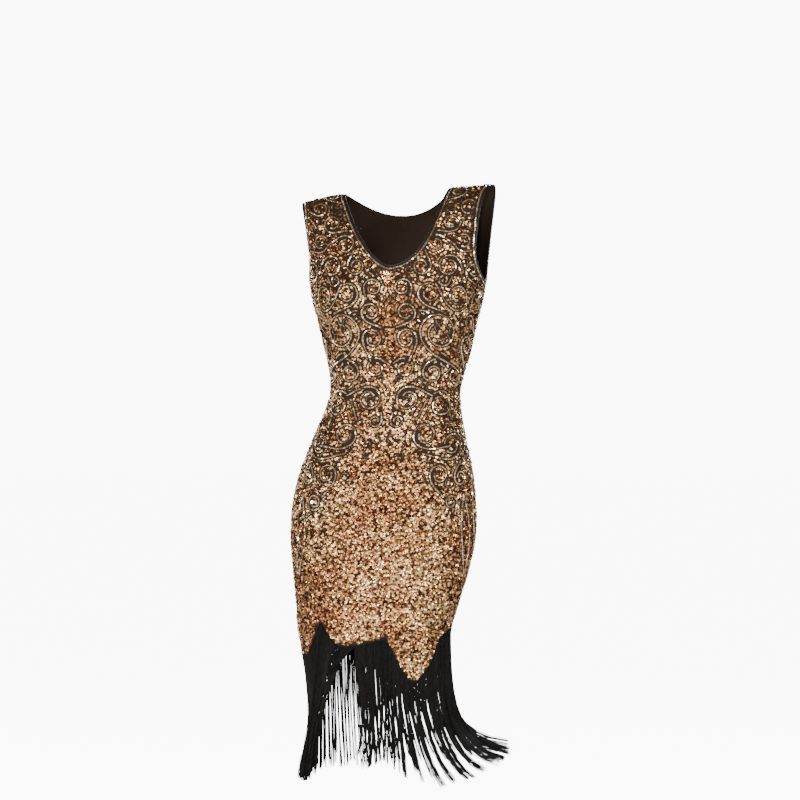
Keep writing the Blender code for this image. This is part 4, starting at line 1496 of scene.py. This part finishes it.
class DressColours(bpy.types.PropertyGroup):
    """Colours of the cloth and trimmings."""

    sequin_deep: colour_property("Sequin, deep", "The reddest and darkest foil", (0.29, 0.105, 0.045))
    sequin_middle: colour_property("Sequin, middle", "The usual foil", (0.78, 0.43, 0.185))
    sequin_pale: colour_property("Sequin, pale", "The palest foil", (0.96, 0.745, 0.465))
    bead_deep: colour_property("Bead, deep", "The darkest glass", (0.28, 0.175, 0.105))
    bead_middle: colour_property("Bead, middle", "The usual glass", (0.60, 0.43, 0.275))
    bead_pale: colour_property("Bead, pale", "The palest glass", (0.90, 0.73, 0.53))
    seed_deep: colour_property("Seed bead, deep", "The darkest glass of the curls", (0.06, 0.034, 0.020))
    seed_middle: colour_property("Seed bead, middle", "The usual glass of the curls", (0.26, 0.160, 0.090))
    seed_pale: colour_property("Seed bead, pale", "The palest glass of the curls", (0.62, 0.46, 0.30))
    net: colour_property("Net", "The net under the sequins", (0.0075, 0.0042, 0.0025))
    binding: colour_property("Binding", "The satin of the rolled edges", (0.0036, 0.0026, 0.0020))
    fringe: colour_property("Fringe", "The thread of the fringe and its tape", (0.0016, 0.0012, 0.0010))


# ---------------------------------------------------------------- operators

PANELS = (("front", "front_panel", 1), ("back", "back_panel", -1))  # names, nodes and faces


class MakePanels(bpy.types.Operator):
    """Makes the front and back panels of black net."""

    bl_idname = "dress.make_panels"
    bl_label = "Panels"

    def execute(self, context):
        colour = context.scene.dress_colours.net
        net = woven_material(
            "net", colour, paler=4.0, threads=(1100, 1100), depth=0.0002,
            Roughness=0.8, Specular_IOR_Level=0.15,
        )
        for name, node, face in PANELS:
            add_panel(f"{name}_net", node, face).data.materials.append(net)
        return {"FINISHED"}


class MakeSequins(bpy.types.Operator):
    """Sews sequins all over both panels, except along the beaded scrolls."""

    bl_idname = "dress.make_sequins"
    bl_label = "Sequins"

    def execute(self, context):
        colours, sizes = context.scene.dress_colours, context.scene.dress_sizes
        foil_colours = colours.sequin_deep, colours.sequin_middle, colours.sequin_pale
        foil = foil_material("sequin_foil", foil_colours, smooth=0.15, rough=0.34, Metallic=1.0)
        for name, node, face in PANELS:
            for part, upper in (("upper", True), ("lower", False)):
                piece = add_sequins(f"{name}_sequins_{part}", node, face, upper, sizes)
                piece.data.materials.append(foil)
        return {"FINISHED"}


class MakeBeads(bpy.types.Operator):
    """Sews pale beads in scrolls and leaves and along the neck and armholes, and dark ones in curls."""

    bl_idname = "dress.make_beads"
    bl_label = "Beads"

    def execute(self, context):
        colours, sizes = context.scene.dress_colours, context.scene.dress_sizes
        bead_colours = colours.bead_deep, colours.bead_middle, colours.bead_pale
        seed_colours = colours.seed_deep, colours.seed_middle, colours.seed_pale
        glass = foil_material(
            "bead_glass", bead_colours, smooth=0.12, rough=0.26,
            Metallic=0.85, Coat_Weight=0.35, Coat_Roughness=0.08,
        )
        seed_glass = foil_material(
            "seed_glass", seed_colours, smooth=0.14, rough=0.30,
            Metallic=0.6, Coat_Weight=0.5, Coat_Roughness=0.08,
        )
        for name, node, face in PANELS:
            rows = bead_rows(face, sizes.bead_length)
            beads = add_beads(f"{name}_beads", node, face, rows, TUBE_BEAD, sizes.bead_width)
            beads.data.materials.append(glass)
            rows = curl_rows(face, sizes.bead_length, sizes.seed_length)
            curls = add_beads(f"{name}_curls", node, face, rows, SEED_BEAD, sizes.seed_width)
            curls.data.materials.append(seed_glass)
        return {"FINISHED"}


class MakeBindings(bpy.types.Operator):
    """Rolls a narrow satin strip over the edges of the neck and armholes."""

    bl_idname = "dress.make_bindings"
    bl_label = "Bindings"

    def execute(self, context):
        colour = context.scene.dress_colours.binding
        satin = woven_material(
            "satin", colour, paler=2.2, threads=(2400, 900), depth=0.0001,
            Roughness=0.36, Specular_IOR_Level=0.4,
        )
        cotton = thread_material("stitching", colour, paler=4.4, twists=1500.0, depth=0.0001, Roughness=0.6)
        for seed, node in enumerate(OPENINGS):
            roll, stitches = add_binding(node, seed)
            roll.data.materials.append(satin)
            stitches.data.materials.append(cotton)
        return {"FINISHED"}


class MakeTape(bpy.types.Operator):
    """Sews the fringe's woven tape behind the hem."""

    bl_idname = "dress.make_tape"
    bl_label = "Hem tape"

    def execute(self, context):
        colour = context.scene.dress_colours.fringe
        woven = woven_material(
            "tape", colour, paler=2.5, threads=(900, 1400), depth=0.0002,
            Roughness=0.7, Specular_IOR_Level=0.2,
        )
        add_tape().data.materials.append(woven)
        return {"FINISHED"}


class MakeFringe(bpy.types.Operator):
    """Hangs the long silky fringe from its tape."""

    bl_idname = "dress.make_fringe"
    bl_label = "Fringe"

    def execute(self, context):
        colour = context.scene.dress_colours.fringe
        # The fringe's paler strands and ply crowns are painted sheen and highlights.
        silk = thread_material(
            "fringe_silk", colour, paler=4.0, twists=400.0, depth=0.0001,
            Roughness=0.34, Specular_IOR_Level=0.17,
        )
        for name in FRINGES:
            add_fringe(name, context.scene.dress_sizes).data.materials.append(silk)
        return {"FINISHED"}


class DeclareCut(bpy.types.Operator):
    """Works out the cloth of each panel and the length of the hem."""

    bl_idname = "dress.declare_cut"
    bl_label = "Cut"

    def execute(self, context):
        for name, _, face in PANELS:
            declare_panel(face)
        _, edge, _, _, walk = hem_ring()
        level = walked(edge, slice(2))  # the hem's length, walked level
        return {"FINISHED"}


class MakeStage(bpy.types.Operator):
    """Sets up the camera, the lights and a plain pale floor."""

    bl_idname = "dress.make_stage"
    bl_label = "Stage"

    def execute(self, context):
        add_camera(context.scene)
        add_floor()
        add_lights()
        add_surroundings(context.scene)
        return {"FINISHED"}


# ---------------------------------------------------------------- stage

CAMERA_PLACE = (0.0037, -4.5, -0.3885)
CAMERA_LENS = 109.5  # millimetres
SENSOR_WIDTH = 36.0
FLOOR_HEIGHT = -1.45
FLOOR_RADIUS = 30.0
FLOOR_SIDES = 96
FLOOR_GLOW = 9.7  # so that it looks as pale as the room behind it
ROOM_GLOW = 10.0  # the room as it looks
ROOM_LIGHT = 0.15  # the room as it lights the dress
Light = namedtuple("Light", "place aim size power")
LIGHTS = {
    "key": Light((-1.2, -3.4, 1.1), (0.0, 0.0, -0.45), 1.1, 66.0),
    "fill": Light((2.3, -2.8, 0.2), (0.0, 0.0, -0.5), 1.0, 80.0),
    "low": Light((-0.9, -3.2, -1.1), (0.0, 0.0, -0.6), 0.9, 36.0),
    "right": Light((-3.4, -1.4, -0.3), (0.0, 0.0, -0.5), 1.2, 40.0),
    "flash": Light((-0.2, -4.6, 0.1), (0.0, 0.0, -0.5), 0.14, 102.0),
    "back_left": Light((2.2, 3.0, 1.0), (0.0, 0.0, -0.5), 1.4, 80.0),
    "back_right": Light((-2.4, 2.6, 0.6), (0.0, 0.0, -0.5), 1.2, 60.0),
}


def add_camera(scene):
    """The camera, level with the hips."""
    camera = bpy.data.cameras.new("camera")
    camera.sensor_width = SENSOR_WIDTH
    camera.lens = CAMERA_LENS
    seen_from = bpy.data.objects.new("camera", camera)
    seen_from.location = CAMERA_PLACE
    seen_from.rotation_euler = (np.pi / 2, 0, 0)
    scene.collection.objects.link(seen_from)
    scene.camera = seen_from


def add_floor():
    """A plain round floor."""
    rim = on_circle(even_angles(FLOOR_SIDES)) * FLOOR_RADIUS
    data = bpy.data.meshes.new("floor")
    data.from_pydata([(x, y, FLOOR_HEIGHT) for x, y in rim], [], [range(FLOOR_SIDES)])
    floor = bpy.data.objects.new("floor", data)
    bpy.context.scene.collection.objects.link(floor)
    material, tree, shader = new_material("floor", Base_Color=(0.8, 0.8, 0.8, 1), Roughness=0.9)
    shader.inputs["Emission Color"].default_value = (1, 1, 1, 1)
    camera_sees = add_node(tree, "LightPath").outputs["Is Camera Ray"]
    glow = number(tree, "MULTIPLY", camera_sees, FLOOR_GLOW)
    tree.links.new(glow, shader.inputs["Emission Strength"])
    data.materials.append(material)


def add_lights():
    """Square soft lights round the dress."""
    for name, light in LIGHTS.items():
        lamp = bpy.data.lights.new(name, "AREA")
        lamp.size = light.size
        lamp.energy = light.power
        placed_lamp = bpy.data.objects.new(name, lamp)
        placed_lamp.location = light.place
        aim = Vector(light.aim) - Vector(light.place)
        placed_lamp.rotation_euler = aim.to_track_quat("-Z", "Y").to_euler()
        bpy.context.scene.collection.objects.link(placed_lamp)


def add_surroundings(scene):
    """A near-white room to look at, and a dimmer one to light the dress by."""
    world = bpy.data.worlds.new("surroundings")
    world.use_nodes = True
    tree = world.node_tree
    tree.nodes.clear()
    seen = add_node(tree, "Background", {"Color": (1, 1, 1, 1), "Strength": ROOM_GLOW})
    lit = add_node(tree, "Background", {"Color": (1, 1, 1, 1), "Strength": ROOM_LIGHT})
    camera_sees = add_node(tree, "LightPath").outputs["Is Camera Ray"]
    both = add_node(tree, "MixShader", {0: camera_sees, 1: lit.outputs[0], 2: seen.outputs[0]})
    made = tree.nodes.new("ShaderNodeOutputWorld")
    tree.links.new(both.outputs[0], made.inputs["Surface"])
    scene.world = world


# ---------------------------------------------------------------- add-on

STEPS = (MakePanels, MakeSequins, MakeBeads, MakeBindings, MakeTape, MakeFringe, DeclareCut, MakeStage)


class DressSidebar(bpy.types.Panel):
    """Lists the sizes, colours and steps."""

    bl_idname = "DRESS_PT_sidebar"
    bl_label = "Dress"
    bl_space_type = "VIEW_3D"
    bl_region_type = "UI"
    bl_category = "Dress"

    def draw(self, context):
        for settings in (context.scene.dress_sizes, context.scene.dress_colours):
            for name in settings.bl_rna.properties.keys():
                if name not in ("rna_type", "name"):
                    self.layout.prop(settings, name)
        for step in STEPS:
            self.layout.operator(step.bl_idname)


CLASSES = (DressSizes, DressColours, *STEPS, DressSidebar)


def register():
    for made in CLASSES:
        bpy.utils.register_class(made)
    bpy.types.Scene.dress_sizes = PointerProperty(type=DressSizes)
    bpy.types.Scene.dress_colours = PointerProperty(type=DressColours)


def unregister():
    del bpy.types.Scene.dress_sizes, bpy.types.Scene.dress_colours
    for made in reversed(CLASSES):
        bpy.utils.unregister_class(made)


def main():
    register()
    bpy.ops.dress.make_panels()
    bpy.ops.dress.make_sequins()
    bpy.ops.dress.make_beads()
    bpy.ops.dress.make_bindings()
    bpy.ops.dress.make_tape()
    bpy.ops.dress.make_fringe()
    bpy.ops.dress.declare_cut()
    bpy.ops.dress.make_stage()


if __name__ == "__main__":
    main()
